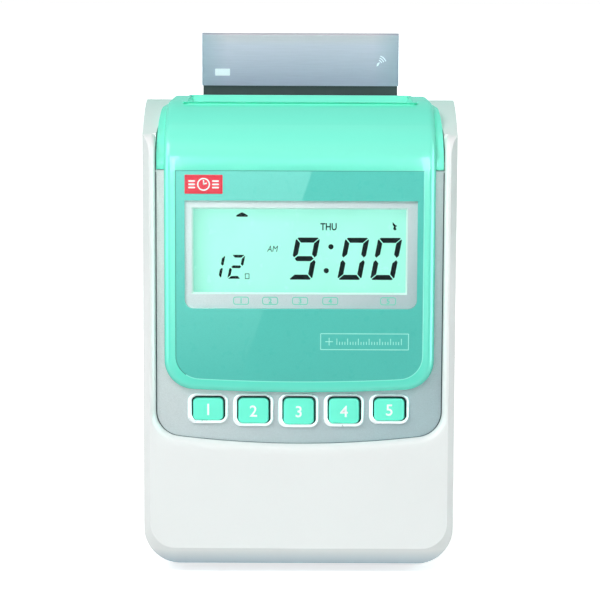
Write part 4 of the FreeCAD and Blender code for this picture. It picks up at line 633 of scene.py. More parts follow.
@dataclass(frozen=True)
class Clear(Finish):
    """A clear polished sheet that lets light through to what it covers."""

    ior: float = 1.08

    def shader(self, graph: Graph) -> bpy.types.Node:
        """Glass for the eye, open for lamps and for scattered light.

        Args:
            graph: the material's tree.

        Returns:
            The shader's node.
        """
        glass = graph.step("ShaderNodeBsdfPrincipled", {
            "Base Color": linear(self.colour), "Roughness": self.roughness, "IOR": self.ior,
            "Transmission Weight": 1.0})
        clear = graph.step("ShaderNodeBsdfTransparent", {"Color": linear(self.colour)})
        path = graph.step("ShaderNodeLightPath")
        lamp = graph.math("MAXIMUM", path.outputs["Is Shadow Ray"], path.outputs["Is Diffuse Ray"])
        return graph.step("ShaderNodeMixShader", {0: lamp, 1: glass.outputs[0],
                                                  2: clear.outputs[0]})


@dataclass(frozen=True)
class Ink(Finish):
    """Screen-printed ink or a cell segment: even, with the faint mottle of the screen."""

    grain: float = 0.0003
    depth: float = 0.000004
    drift: float = 0.0004
    tone: float = 1.1
    lift: float = 0.004

    def paint(self, graph: Graph) -> Socket:
        """The ink's colour with a fine mottle."""
        return graph.blend(graph.noise(self.drift), linear(self.colour),
                           toned(self.colour, self.tone, self.lift))


# Painted shade: the white darkens to a blue-grey on the bevel at the case's foot, below 12.5 mm.
WHITE = Lipped("warm white moulding", (235, 237, 237), 0.42, specular=0.3, coat=0.35,
               coat_roughness=0.12, lowest=(174, 192, 204), fade=(0.005, 0.0125))
WHITE_BACK = Moulded("warm white moulding, rear", (234, 238, 237), 0.45)
INNER = Moulded("natural white moulding", (222, 224, 220), 0.5, grain=0.001)
# Painted shade: the mint darkens towards the foot of the cover's tongue, below 190 mm.
MINT = Moulded("glossy mint moulding", (117, 240, 213), 0.24, coat=0.35, specular=0.35, grain=0.002,
               depth=0.000003, lowest=(98, 226, 203), fade=(0.088, 0.19))
# Painted highlight: a pale strip round the window plate's foot and right side.
MINT_HIGHLIGHT_STRIP = Moulded("polished mint edge", (138, 244, 226), 0.2, coat=0.4, grain=0.002,
                    depth=0.000002)
# Painted shade: a dark strip along the window plate's left side and head.
MINT_SHADE_STRIP = Moulded("shaded mint gap", (64, 168, 152), 0.5, grain=0.002, depth=0.000002)
# Printed green with painted shade: it darkens towards the window plate's foot and its right.
WINDOW = Lacquered("printed green window plate", (96, 210, 196), 0.3, coat=1.0,
                   coat_roughness=0.015, specular=0.1, depth=0.0, low=(88, 196, 184),
                   flake=0.00016, spread=0.04, bottom=0.095, top=0.19, lean=0.2)
# Painted shade: the panel's silver darkens towards its foot and its right, where the tongue's
# shadow falls.
SILVER = Lacquered("silver panel lacquer", (208, 206, 208), 0.36, metallic=0.25,
                   low=(160, 176, 182), bottom=0.03, top=0.20, lean=0.85)
# Painted shade: the mask's silver darkens towards its foot and its right.
MASK = Lacquered("silver window mask", (240, 243, 246), 0.42, low=(180, 192, 198), spread=0.04,
                 bottom=0.08, top=0.20, lean=0.7)
BEZEL = Moulded("pale bezel edge", (226, 248, 242), 0.3, grain=0.001, depth=0.000004)
RIM = Moulded("bright key rim", (240, 243, 246), 0.3, metallic=0.3, grain=0.001, depth=0.000002)
KEY = Moulded("aqua key moulding", (112, 246, 216), 0.42, specular=0.25, grain=0.0012,
              depth=0.000003)
CRYSTAL = Crystal("lit crystal cell", (170, 250, 230), 0.25)
LENS = Clear("clear lens", (250, 254, 253), 0.0)
SEGMENT = Ink("dark segment", (5, 12, 16), 0.5, specular=0.1)
SEGMENT_SOFT = Ink("faint segment", (16, 40, 44), 0.5, specular=0.1)
WHITE_INK = Ink("white ink", (240, 252, 249), 0.5)
PALE_INK = Ink("pale green line ink", (158, 232, 220), 0.5)
GREEN_INK = Ink("green ink", (104, 206, 184), 0.5)
RED = Moulded("red badge enamel", (234, 54, 74), 0.3, coat=0.15, specular=0.3, grain=0.002,
              depth=0.000003)
RUBBER = Rubbery("grey rubber", (138, 150, 153), 0.75)
# Painted shade: a near-black strip in the gaps round the keys, wider above and to the right of
# each.
KEY_GAP_SHADE = Rubbery("dark key gasket", (4, 12, 16), 0.9, specular=0.1)
PLATEN = Rubbery("black platen rubber", (38, 38, 40), 0.7)
ZINC = Metal("zinc plated steel", (190, 196, 200), 0.38, spangle=0.006)
STEEL = Metal("polished steel", (214, 216, 218), 0.18, grain=0.0002)
CHROME = Metal("chromed lock", (176, 182, 188), 0.24, grain=0.0002, depth=0.000002,
               run=Axis.ALONG_Z)
BRASS = Metal("turned brass", (206, 164, 88), 0.28, grain=0.0002, run=Axis.ALONG_Z)
BLACK = Moulded("black moulding", (34, 35, 38), 0.45)
SLATE = Moulded("slate moulding", (34, 41, 46), 0.42)
# Painted shade and highlight on the receiver plate: darker to its foot and ends, paler under its
# top edge.
BLUE_GREY = Graded("graded blue-grey plate", (184, 182, 199), 0.34, metallic=0.15,
                   low=(154, 156, 179), rim=(184, 180, 190), grain=0.0005)
BOARD = Circuit("green circuit board", (26, 92, 58), 0.4)
FABRIC = Woven("inked ribbon", (28, 27, 30), 0.8)
CELLS = Finish("cell sleeve", (40, 150, 142), 0.35, grain=0.002, detail=3.0, depth=0.00008,
               run=Axis.ALONG_X)
NYLON = Moulded("ivory nylon", (228, 222, 204), 0.4)
PALE_MARK = Ink("pale mark", (224, 232, 240), 0.5)


@lru_cache(maxsize=None)
def material_of(finish: Finish) -> bpy.types.Material:
    """The one material of a finish, made the first time it is asked for."""
    return finish.material()


# -------------------------------------------------------------------------- surfaces
def as_faces(indices: Points) -> list[tuple]:
    """Rows of point indices as faces."""
    return [tuple(row) for row in indices.tolist()]


def grid_faces(rows: int, columns: int) -> Points:
    """The quads of a grid of points kept row after row, in which each row closes on itself.

    Args:
        rows: how many rows.
        columns: how many points in a row.

    Returns:
        One row of four indices per face: (r, c), (r, c+1), (r+1, c+1), (r+1, c).
    """
    across = np.arange(columns)
    down = np.arange(rows - 1)[:, None] * columns
    right = (across + 1) % columns
    return np.stack([down + across, down + right, down + columns + right, down + columns + across],
                    axis=-1).reshape(-1, 4)


def rounded_outline(half_width: Points, half_height: Points, radius: Points,
                    steps: int = 7) -> Points:
    """Rounded rectangles about the origin, one row each.

    A point is its corner's centre, (half_width - radius, half_height - radius) with the corner's
    signs, plus radius times (cos a, sin a), and a runs round the whole circle, a quarter to each
    corner.

    Args:
        half_width: half the width of each outline.
        half_height: half the height of each.
        radius: the corner radius of each, or of all.
        steps: points in a corner.

    Returns:
        An array (outlines, 4 * steps, 2).
    """
    quarters = np.arange(4)[:, None] * 90 + np.linspace(0, 90, steps)[None, :]
    angle = quarters.ravel() * math.pi / 180
    side = np.repeat(np.array([[1, 1], [-1, 1], [-1, -1], [1, -1]]), steps, axis=0)
    half = np.stack([np.atleast_1d(half_width), np.atleast_1d(half_height)], axis=-1)
    radius = np.atleast_1d(radius)[:, None, None]
    round_ = radius * np.stack([np.cos(angle), np.sin(angle)], axis=-1)[None]
    return side[None] * (half[:, None, :] - radius) + round_


def upright(lines: Points, level: Points, place: Points = (0.0, 0.0)) -> Points:
    """Stands flat outlines up at their depths.

    Args:
        lines: points (outlines, points in an outline, 2).
        level: Y of each outline.
        place: how far all of them, or each of them, are moved in X and Z.

    Returns:
        Points (outlines, points in an outline, 3).
    """
    lines = np.asarray(lines) + np.reshape(place, (-1, 1, 2))
    depth = np.broadcast_to(np.reshape(level, (-1, 1, 1)), lines.shape[:2] + (1,))
    return np.concatenate([lines[..., :1], depth, lines[..., 1:]], axis=-1)


@dataclass
class Surface:
    """Points in millimetres and the faces between them, before they become a piece."""

    points: Points
    faces: list

    def joined(self, other: "Surface") -> "Surface":
        """This surface and another as one.

        Args:
            other: the surface to add.

        Returns:
            Both in one surface.
        """
        shift = len(self.points)
        moved = [tuple(index + shift for index in face) for face in other.faces]
        return Surface(np.concatenate([self.points, other.points]), self.faces + moved)


def together(parts: Iterable[Surface]) -> Surface:
    """Several surfaces as one."""
    return reduce(Surface.joined, parts)


def ring_stack(rings: Points) -> Surface:
    """A closed skin through a pile of rings, with a pole at the middle of the first and the last.

    Args:
        rings: points (rings, points in a ring, 3).

    Returns:
        The closed surface.
    """
    count, around, _ = rings.shape
    poles = np.stack([rings[0].mean(axis=0), rings[-1].mean(axis=0)])
    step = np.arange(around)
    after = (step + 1) % around
    first, last = count * around, count * around + 1
    start = np.stack([np.full(around, first), after, step], axis=-1)
    base = (count - 1) * around
    end = np.stack([np.full(around, last), base + step, base + after], axis=-1)
    faces = as_faces(grid_faces(count, around)) + as_faces(start) + as_faces(end)
    return Surface(np.concatenate([rings.reshape(-1, 3), poles]), faces)


def band(sections: Points) -> Surface:
    """A closed tube through sections that go all the way round, each section a closed curve.

    Args:
        sections: points (sections, points in a section, 3); the last joins the first.

    Returns:
        The closed surface.
    """
    count, around, _ = sections.shape
    faces = grid_faces(count + 1, around) % (count * around)
    return Surface(sections.reshape(-1, 3), as_faces(faces))


def border(lines: Points, level: Points, place: Points = (0.0, 0.0)) -> Surface:
    """A closed band whose section passes through nested outlines, given as for upright."""
    return band(upright(lines, level, place).transpose(1, 0, 2))


def strip(lines: Points, level: Points) -> Surface:
    """A closed strip along open lines that run side by side, given as for upright."""
    return ring_stack(upright(lines, level).transpose(1, 0, 2))


def prism(outline: Points, front: float, back: float) -> Surface:
    """A flat shape in X and Z with straight sides along Y.

    Args:
        outline: its corners (n, 2), in order.
        front: Y of the face that is seen from the front.
        back: Y of the other face.

    Returns:
        The closed surface, with its faces left as polygons.
    """
    count = len(outline)
    ends = [tuple(range(count)), tuple(range(2 * count - 1, count - 1, -1))]
    points = upright([outline, outline], (front, back)).reshape(-1, 3)
    return Surface(points, as_faces(grid_faces(2, count)) + ends)


def shield_line(half: float, low: float, top: float, bow: float, corner: float) -> Points:
    """An outline with upright sides, a bowed foot and two round lower corners.

    The foot is the circle z = low + bow - sqrt(bow ** 2 - x ** 2), and each corner is the circle of
    radius corner that touches it and a side.

    Args:
        half: half its width.
        low: Z of the foot's middle.
        top: Z of its head.
        bow: the foot's radius.
        corner: the corners' radius.

    Returns:
        Corners (n, 2) in X and Z, anticlockwise from the top left.
    """
    side, reach = half - corner, bow - corner
    corner_z = low + bow - math.sqrt(reach * reach - side * side)
    touch = side * bow / reach
    x = np.linspace(-touch, touch, 40)
    foot = np.stack([x, low + bow - np.sqrt(bow * bow - x * x)], axis=-1)
    start = math.atan2(foot[-1, 1] - corner_z, foot[-1, 0] - side)
    turn = np.linspace(start, 0, 12)[1:]
    right = np.stack([side + corner * np.cos(turn), corner_z + corner * np.sin(turn)], axis=-1)
    left = (right * [-1, 1])[::-1]
    return np.concatenate([[[-half, top]], left, foot, right, [[half, top]]])


def frame_ring(half: Pair, radius: float, width: float, place: Pair, front: float,
               back: float) -> Surface:
    """A thin flat border: a rounded rectangle with a smaller one cut out of it.

    Args:
        half: half the outer width and height.
        radius: the outer corner radius.
        width: how wide the border is.
        place: the middle, X and Z.
        front: Y of the front face.
        back: Y of the back face.

    Returns:
        The closed band.
    """
    inset = np.array([0, 0, width, width])
    lines = rounded_outline(half[0] - inset, half[1] - inset, np.maximum(radius - inset, 0.05))
    return border(lines, (front, back, back, front), place)


def written(words: str, height: float, place: Pair, front: float, depth: float = 0.03,
            lean: float = 0.0, width: float | None = None, weight: float = 0.0) -> Surface:
    """Letters that face the front, centred on a place.

    Args:
        words: what they say.
        height: the height of a capital.
        place: the middle, X and Z.
        front: Y of their front face.
        depth: how thick they are.
        lean: how far they slant, as a share of the height.
        width: how wide the words are drawn, or None for the letters' own width.
        weight: how much each stroke is thickened, as a share of the letters' size.

    Returns:
        The letters as one surface.
    """
    curve = bpy.data.curves.new("letters", "FONT")
    curve.body = words
    curve.size = 1.0
    curve.extrude = 0.5
    curve.offset = weight
    curve.resolution_u = 3
    holder = bpy.data.objects.new("letters", curve)
    mesh = bpy.data.meshes.new_from_object(holder)
    flat = np.empty(len(mesh.vertices) * 3)
    mesh.vertices.foreach_get("co", flat)
    faces = [tuple(polygon.vertices) for polygon in mesh.polygons]
    bpy.data.objects.remove(holder)
    bpy.data.curves.remove(curve)
    bpy.data.meshes.remove(mesh)
    local = flat.reshape(-1, 3)
    low, high = local.min(axis=0), local.max(axis=0)
    scale = height / (high[1] - low[1])
    spread = scale if width is None else width / (high[0] - low[0])
    across = (local[:, 0] - (low[0] + high[0]) / 2) * spread
    up = (local[:, 1] - (low[1] + high[1]) / 2) * scale
    points = np.column_stack([place[0] + across + lean * up, front + depth * (0.5 - local[:, 2]),
                              place[1] + up])
    return Surface(points, faces)


def hang(name: str, data: bpy.types.ID) -> bpy.types.Object:
    """Puts a mesh, lamp or camera into the scene as an object at the origin.

    Args:
        name: what it is called.
        data: the mesh, lamp or camera.

    Returns:
        The new object.
    """
    made = bpy.data.objects.new(name, data)
    bpy.context.scene.collection.objects.link(made)
    return made


def piece(name: str, surface: Surface, finish: Finish, body: Body,
          smooth: float | None = 35.0) -> bpy.types.Object:
    """Makes a surface a piece of the machine.

    Args:
        name: the piece's name.
        surface: its points in millimetres and its faces.
        finish: what it is made of.
        body: what it moves with.
        smooth: the sharpest angle in degrees that is shaded smooth, or None for flat faces.

    Returns:
        The new object, which stands at the origin.
    """
    mesh = bpy.data.meshes.new(name)
    mesh.from_pydata((surface.points * MM).tolist(), [], surface.faces)
    shell = bmesh.new()
    shell.from_mesh(mesh)
    bmesh.ops.remove_doubles(shell, verts=shell.verts, dist=1e-7)
    bmesh.ops.recalc_face_normals(shell, faces=shell.faces)
    shell.to_mesh(mesh)
    shell.free()
    if smooth is not None:
        mesh.polygons.foreach_set("use_smooth", np.ones(len(mesh.polygons), dtype=bool))
        mesh.set_sharp_from_angle(angle=math.radians(smooth))
    mesh.materials.append(material_of(finish))
    made = hang(name, mesh)
    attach(made, body.value)
    LOG.info("%s: %d points, rides on %s", name, len(mesh.vertices), body.value)
    return made


def dress(finish: Finish, *nodes: str) -> None:
    """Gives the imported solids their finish.

    Args:
        finish: the finish.
        nodes: the solids' names.
    """
    for name in nodes:
        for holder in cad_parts[name].material_slots:
            holder.material = material_of(finish)
        LOG.info("%s: %s", name, finish.name)


# -------------------------------------------------------------------------- sub-assemblies
@dataclass
class Case:
    """The white case, its rear cover, feet, screws and the inlet at the back."""

    inlet: Pair = (40.0, 44.0)
    blade_gap: float = 7.0
    blade_half: Pair = (1.1, 1.9)
    blade_span: Pair = (46.5, 55.0)
    opening: tuple = (66.86, 63.24, 190.6, 465.0, 12.0)
    seam_width: Pair = (0.46, 0.16)
    # Painted shade: the widths of the dark strip round the panel, at its sides and at its foot.
    panel_face: float = -54.0

    def blades(self) -> None:
        """Two flat blades inside the inlet, rounded at their tips by rings that shrink."""
        start, tip = self.blade_span
        level = (start, tip - 0.8, tip - 0.3, tip)
        inset = np.array([0, 0, 0.25, 0.6])
        lines = rounded_outline(self.blade_half[0] - inset, self.blade_half[1] - inset, 0.4)
        x, z = self.inlet
        pair = together(ring_stack(upright(lines, level, (x + side * self.blade_gap / 2, z)))
                        for side in (-1, 1))
        piece("inlet_blades", pair, BRASS, Body.BASE)

    def seal(self) -> None:
        """A thin dark strip of painted shade in the seam round the silver panel, which thins out
        towards the foot.

        Its width is foot + (side - foot) * s ** 2 at each point, where s is how far the outline has
        turned upright, from 0 on the foot to 1 on the sides.
        """
        outer = shield_line(*self.opening)
        along = np.gradient(outer, axis=0)
        along /= np.linalg.norm(along, axis=1)[:, None]
        side, foot = self.seam_width
        width = foot + (side - foot) * along[:, 1] ** 2
        inner = outer + np.column_stack([-along[:, 1], along[:, 0]]) * width[:, None]
        level = self.panel_face + np.array([0.1, -0.08, -0.08, 0.1])
        # Painted shade: SLATE here stands for the shadow in the seam round the panel.
        piece("panel_seal", strip((outer, outer, inner, inner), level), SLATE, Body.BASE,
              50.0)

    def build(self) -> None:
        """Finishes the case's solids and makes the blades and the painted seam shade."""
        dress(WHITE, "housing")
        dress(WHITE_BACK, "rear_cover")
        dress(RUBBER, "rubber_feet")
        dress(ZINC, "case_screws", "hinge_pins")
        dress(BLACK, "power_inlet")
        self.blades()
        self.seal()


@dataclass
class Receiver:
    """The slate radio receiver behind the case, with its plate in painted shade and the marks on
    it.
    """

    print_span: Pair = (36.47, 36.52)
    box_middle: Pair = (-38.6, 233.2)
    box_half: Pair = (3.7, 1.75)
    wave_middle: Pair = (38.2, 237.2)
    wave_radii: tuple = (2.0, 3.1, 4.2)
    wave_width: float = 0.5
    wave_turn: Pair = (22.0, 72.0)

    def waves(self) -> None:
        """Arcs over a wedge, each from r to r + width for the angles of wave_turn."""
        angle = np.radians(np.linspace(*self.wave_turn, 14))
        turn = np.column_stack([np.cos(angle), np.sin(angle)])
        shapes = [np.array([[-0.5, -0.9], [0.4, -0.5], [1.2, 1.0], [0.9, 1.2], [-0.2, 0.5]])]
        shapes += [np.concatenate([inner * turn, (inner + self.wave_width) * turn[::-1]])
                   for inner in self.wave_radii]
        made = together(prism(shape + self.wave_middle, *self.print_span) for shape in shapes)
        piece("receiver_waves", made, PALE_MARK, Body.RECEIVER)

    def label(self) -> None:
        """A small blank label at the plate's left."""
        line = rounded_outline(*self.box_half, 0.4, 5)[0]
        piece("receiver_mark", prism(line + self.box_middle, *self.print_span), PALE_MARK,
              Body.RECEIVER)

    def build(self) -> None:
        """Finishes the receiver and prints its plate."""
        dress(WHITE_BACK, "receiver_dock")
        dress(SLATE, "receiver_body", "receiver_back")
        dress(BLUE_GREY, "receiver_plate")
        dress(BOARD, "receiver_board")
        self.label()
        self.waves()


@dataclass
class Cover:
    """The mint cover with its window plate, lens, mask, red badge and printed marks."""

    plate_face: float = -57.5
    plate_half: float = 57.4
    plate_low: float = 93.1
    plate_top: float = 191.4
    plate_bow: float = 900.0
    plate_corner: float = 11.0
    mask_face: float = -56.3
    opening: Triple = (50.0, 134.0, 174.3)
    badge_middle: Pair = (-44.4, 185.1)
    badge_half: Pair = (8.8, 4.4)
    badge_proud: float = 0.35
    badge_fillet: float = 0.22
    print_proud: float = 0.03
    hands: tuple = ((0.0, 2.0), (1.45, 0.6))
    hand_half: float = 0.3
    dial: Pair = (3.0, 0.62)
    bar_half: Pair = (1.6, 0.36)
    bar_across: Pair = (-5.5, 5.5)
    bar_up: Triple = (-1.5, 0.0, 1.5)
    notice_middle: Pair = (30.4, 112.0)
    notice_half: Pair = (20.6, 3.9)
    plus_half: Pair = (1.8, 0.19)
    tick_count: int = 25
    tick_pitch: float = 1.25
    tick_start: float = 3.6
    tick_half: float = 0.17
    tick_tall: Pair = (1.5, 0.75)
    mouth_half: Pair = (53.5, 24.75)
    mouth_middle: float = -0.75
    hood_top: float = 222.0
    hood_flat: float = -12.0
    hood_sweep: float = 62.32
    label_places: tuple = (-27.1, -13.6, 0.3, 14.3, 41.2)
    label_height: float = 130.9
    label_half: Pair = (3.7, 1.9)

    def shield(self, inset: float) -> Points:
        """The plate's outline moved inwards by inset, from the top left anticlockwise."""
        return shield_line(self.plate_half - inset, self.plate_low + inset, self.plate_top - inset,
                           self.plate_bow, self.plate_corner - inset)

    def edge_strip(self, span: slice, inner: float, outer: float, proud: float) -> Surface:
        """A thin strip on this span of the plate's outline, between two insets, proud of it."""
        lines = [self.shield(inset)[span] for inset in (outer, outer, inner, inner)]
        return strip(lines, self.plate_face + np.array([0.06, -proud, -proud, 0.06]))

    def edge_lines(self) -> None:
        """The plate's edge: a dark strip of painted shade at its left side and head, a pale strip
        of painted highlight elsewhere.
        """
        # Painted shade: a dark strip across the head and down the left side of the plate.
        over, under = self.plate_top + 0.12, self.plate_top - 0.16
        section = ((0.06, over), (-0.03, over), (-0.03, under), (0.06, under))
        head = ring_stack(np.array([[[x, self.plate_face + y, z] for y, z in section]
                                    for x in (-self.plate_half, self.plate_half)]))
        gap = self.edge_strip(slice(0, 9), 0.22, -0.1, 0.03).joined(head)
        piece("plate_gap", gap, MINT_SHADE_STRIP, Body.COVER, 40.0)
        # Painted highlight: a pale strip round the foot and up the right side of the plate.
        edge = self.edge_strip(slice(8, None), 0.12, -0.3, 0.07)
        piece("plate_edge", edge, MINT_HIGHLIGHT_STRIP, Body.COVER, 40.0)

    def funnel_lip(self) -> None:
        """A soft bead round the card funnel's mouth, which follows the hood down at the front.

        At an angle t across the bead it stands 0.5 + 0.75 * cos(t) outside the mouth and
        0.55 * sin(t) over the hood, whose height is top - sweep + sqrt(sweep ** 2 - d ** 2) at a
        distance d before the line where it turns level.
        """
        t = np.linspace(0, math.pi, 9)
        out = 0.5 + 0.75 * np.cos(t)
        rise = 0.55 * np.sin(t)
        rise[[0, -1]] = -0.3
        lines = rounded_outline(self.mouth_half[0] + out, self.mouth_half[1] + out, 2.2 + out, 9)
        y = lines[..., 1] + self.mouth_middle
        before = np.maximum(self.hood_flat - y, 0.0)
        level = self.hood_top - self.hood_sweep + np.sqrt(self.hood_sweep ** 2 - before ** 2)
        points = np.stack([lines[..., 0], y, level + rise[:, None]], axis=-1)
        piece("funnel_lip", band(points.transpose(1, 0, 2)), MINT, Body.COVER, 60.0)

    def bezel(self) -> None:
        """The bevelled wall of the display opening, which narrows by 0.7 mm over its depth."""
        half, low, high = self.opening
        inset = np.array([0.0, 0.7, 0.75, 0.05])
        level = self.mask_face + np.array([-0.02, 1.1, 1.2, 1.2])
        lines = rounded_outline(half - inset, (high - low) / 2 - inset, 0.35, 4)
        piece("display_bezel", border(lines, level, (0.0, (low + high) / 2)), BEZEL, Body.COVER,
              None)

    def badge(self) -> None:
        """A softly crowned enamel plate: its edge is a quarter round, its face rises 0.1 mm."""
        turn = np.linspace(0, 90, 6) * math.pi / 180
        fillet = self.badge_fillet
        inset = np.concatenate([[0], fillet * (1 - np.cos(turn)), [1.2, 2.4, 3.6]])
        shoulder = self.badge_proud - 0.1
        rise = np.concatenate([[0], shoulder - fillet + fillet * np.sin(turn),
                               self.badge_proud - np.array([0.05, 0.02, 0.0])])
        lines = rounded_outline(self.badge_half[0] - inset, self.badge_half[1] - inset,
                                np.maximum(0.35 - inset, 0.1))
        rings = upright(lines, self.plate_face + 0.02 - rise, self.badge_middle)
        piece("badge", ring_stack(rings), RED, Body.COVER)

    def badge_clock(self) -> None:
        """A plain clock face on the badge, with three bars to each side of it."""
        face = self.plate_face - self.badge_proud
        shapes = []
        for stop in self.hands:
            reach = np.array(stop)
            along = reach / np.linalg.norm(reach)
            side = np.array([-along[1], along[0]]) * self.hand_half
            tail = -along * self.hand_half
            shapes.append(np.array([tail - side, reach - side, reach + side, tail + side]))
        bar = rounded_outline(*self.bar_half, 0.35, 4)[0]
        shapes += [bar + (x, z) for x in self.bar_across for z in self.bar_up]
        span = face - self.print_proud, face + 0.2
        radius, width = self.dial
        dial = frame_ring((radius, radius), radius, width, self.badge_middle, *span)
        marks = (prism(shape + self.badge_middle, *span) for shape in shapes)
        piece("badge_clock", together([dial, *marks]), WHITE_INK, Body.COVER)

    def notice(self) -> None:
        """A thin printed border round a plus sign and a plain scale of ticks."""
        span = self.plate_face - self.print_proud, self.plate_face + self.print_proud
        shapes = [rounded_outline(*half, 0.15, 3)[0] for half in (self.plus_half,
                                                                  self.plus_half[::-1])]
        long, short = self.tick_tall
        for number in range(self.tick_count):
            tall = long if number % 4 == 0 else short
            tick = rounded_outline(self.tick_half, tall, 0.12, 3)[0]
            shapes.append(tick + (self.tick_start + self.tick_pitch * number, tall - long))
        x, z = self.notice_middle
        start = (x - self.notice_half[0] + 4.1, z)
        edge = frame_ring(self.notice_half, 0.35, 0.34, self.notice_middle, *span)
        made = together([edge, *(prism(shape + start, *span) for shape in shapes)])
        piece("notice_print", made, PALE_INK, Body.COVER)

    def labels(self) -> None:
        """Small numerals in rounded frames under the display, one for each key."""
        front, back = self.mask_face - self.print_proud, self.mask_face + self.print_proud
        parts = []
        for number, x in enumerate(self.label_places, 1):
            place = (x, self.label_height)
            parts += [written(str(number), 2.5, place, front, weight=0.03),
                      frame_ring(self.label_half, 1.2, 0.42, place, front, back)]
        piece("mask_numerals", together(parts), GREEN_INK, Body.COVER)

    def build(self) -> None:
        """Finishes the cover and prints its window."""
        dress(MINT, "top_cover")
        dress(WINDOW, "window_plate")
        dress(MASK, "window_frame")
        dress(LENS, "lcd_lens")
        self.funnel_lip()
        self.edge_lines()
        self.bezel()
        self.badge()
        self.badge_clock()
        self.notice()
        self.labels()


@dataclass
class Digit:
    """The seven strokes of one digit, each mitred to its neighbours with its outer corner cut."""

    half: Pair
    stroke: float
    gap: float
    cut: float
    waist: float

    def strokes(self) -> dict:
        """The corners of each stroke by its usual letter, about the digit's middle.

        With w and h half the digit's width and height, the mitre at a corner is the line
        w - x = h - z, and a stroke keeps its gap off it, measured along X; the cut corner is the
        line (w - x) + (h - z) = cut.  In the same way s is the stroke, g the gap, c the cut and m
        the waist.

        Returns:
            An array (n, 2) for each of the letters a to g.
        """
        w, h = self.half
        s, g, c, m = self.stroke, self.gap, self.cut, self.waist
        lead, rest = (c + g) / 2, (c - g) / 2
        top = np.array([[lead - w, h - rest], [c - w, h], [w - c, h], [w - lead, h - rest],
                        [w - s - g, h - s], [s + g - w, h - s]])
        side = np.array([[w - rest, h - lead], [w, h - c], [w, m + 0.4 * s], [w - 0.37 * s, m],
                         [w - s, m + 0.63 * s], [w - s, h - s - g]])
        tip = w - 0.37 * s - g
        bar = np.array([[-tip, 0], [s / 2 - tip, s / 2], [tip - s / 2, s / 2], [tip, 0],
                        [tip - s / 2, -s / 2], [s / 2 - tip, -s / 2]])
        over, across = np.array([1, -1]), np.array([-1, 1])
        return {"a": top, "d": top * over, "g": bar, "b": side, "c": side * over,
                "f": side * across, "e": -side}


@dataclass
class Display:
    """The crystal cell's segments: the time, the day of the month and a few marks."""

    face: float = -51.5
    slant: float = 0.189
    big: Digit = field(default_factory=lambda: Digit((5.6, 9.85), 2.35, 0.3, 1.1, 0.55))
    small: Digit = field(default_factory=lambda: Digit((3.15, 5.6), 1.3, 0.35, 0.6, 0.45))
    lit: dict = field(default_factory=lambda: {"0": "abcdef", "1": "bc", "2": "abged",
                                               "9": "abcdfg"})
    time_places: Triple = (2.1, 25.0, 40.3)
    time_middle: float = 150.15
    date_places: Pair = (-38.7, -29.45)
    date_middle: float = 146.2
    colon_middle: float = 13.5
    colon_rise: float = 5.6
    dot_radius: float = 1.22
    pointer_middle: Pair = (-26.8, 170.6)
    flash_middle: Pair = (44.2, 165.5)

    def segment(self, outline: Points) -> Surface:
        """One dark segment with this outline."""
        return prism(outline, self.face - 0.04, self.face + 0.02)

    def lay(self, name: str, parts: Iterable[Surface], ink: Ink = SEGMENT) -> None:
        """Makes some surfaces one piece of the cell."""
        piece(name, together(parts), ink, Body.BASE, None)

    def digits(self, text: str, places: tuple, digit: Digit, middle: float) -> list[Surface]:
        """Slanted digits in a row.

        Args:
            text: the digits.
            places: the middle of each, in X.
            digit: the shape of its strokes.
            middle: Z of the row's middle.

        Returns:
            All the lit strokes.
        """
        shapes = digit.strokes()
        lean = np.array([[1, 0], [self.slant, 1]])
        return [self.segment(shapes[letter] @ lean + (x, middle))
                for mark, x in zip(text, places) for letter in self.lit[mark]]

    def time(self) -> None:
        """Nine o'clock, with the colon's dots (x + r cos a, z + r sin a)."""
        row = self.digits("900", self.time_places, self.big, self.time_middle)
        turn = np.linspace(0, 2 * math.pi, 28, endpoint=False)
        dot = self.dot_radius * np.column_stack([np.cos(turn), np.sin(turn)])
        row += [self.segment(dot + (self.colon_middle + self.slant * up, self.time_middle + up))
                for up in (-self.colon_rise, self.colon_rise)]
        self.lay("time_segments", row)

    def date(self) -> None:
        """The day of the month."""
        self.lay("date_segments", self.digits("12", self.date_places, self.small,
                                              self.date_middle))

    def words(self) -> None:
        """The day of the week, the half of the day and a small box."""
        front = self.face - 0.02
        week = written("THU", 3.4, (13.4, 165.1), front, 0.04, 0.0, 7.6, 0.026)
        half = written("AM", 2.8, (-12.6, 154.7), front, 0.04, 0.17, 4.6)
        box = frame_ring((1.05, 1.3), 0.2, 0.32, (-24.4, 141.8), self.face - 0.04, self.face + 0.02)
        self.lay("display_words", (week, half, box), SEGMENT_SOFT)

    def marks(self) -> None:
        """A low pointer at the top edge and a small radio flash at the right."""
        pointer = np.array([[-2.5, -1.0], [2.5, -1.0], [2.75, -0.7], [2.6, -0.3], [0.55, 0.85],
                            [0, 1.05], [-0.55, 0.85], [-2.6, -0.3], [-2.75, -0.7]])
        flash = np.array([[-1.1, 1.95], [0.25, 0.5], [1.15, 0.1], [0.35, -0.35], [0.75, -1.75],
                          [-0.1, -1.95], [-0.75, -1.35], [-0.45, -0.2], [-1.0, 0.55]])
        self.lay("display_marks", (self.segment(pointer + self.pointer_middle),
                                   self.segment(flash + self.flash_middle)))

    def build(self) -> None:
        """Finishes the display and lights its strokes."""
        dress(CRYSTAL, "lcd_glass")
        dress(INNER, "lcd_backlight", "display_cable")
        dress(BLACK, "lcd_holder", "tact_switches")
        dress(BOARD, "lcd_board", "key_board")
        dress(SILVER, "front_panel")
        self.time()
        self.date()
        self.words()
        self.marks()


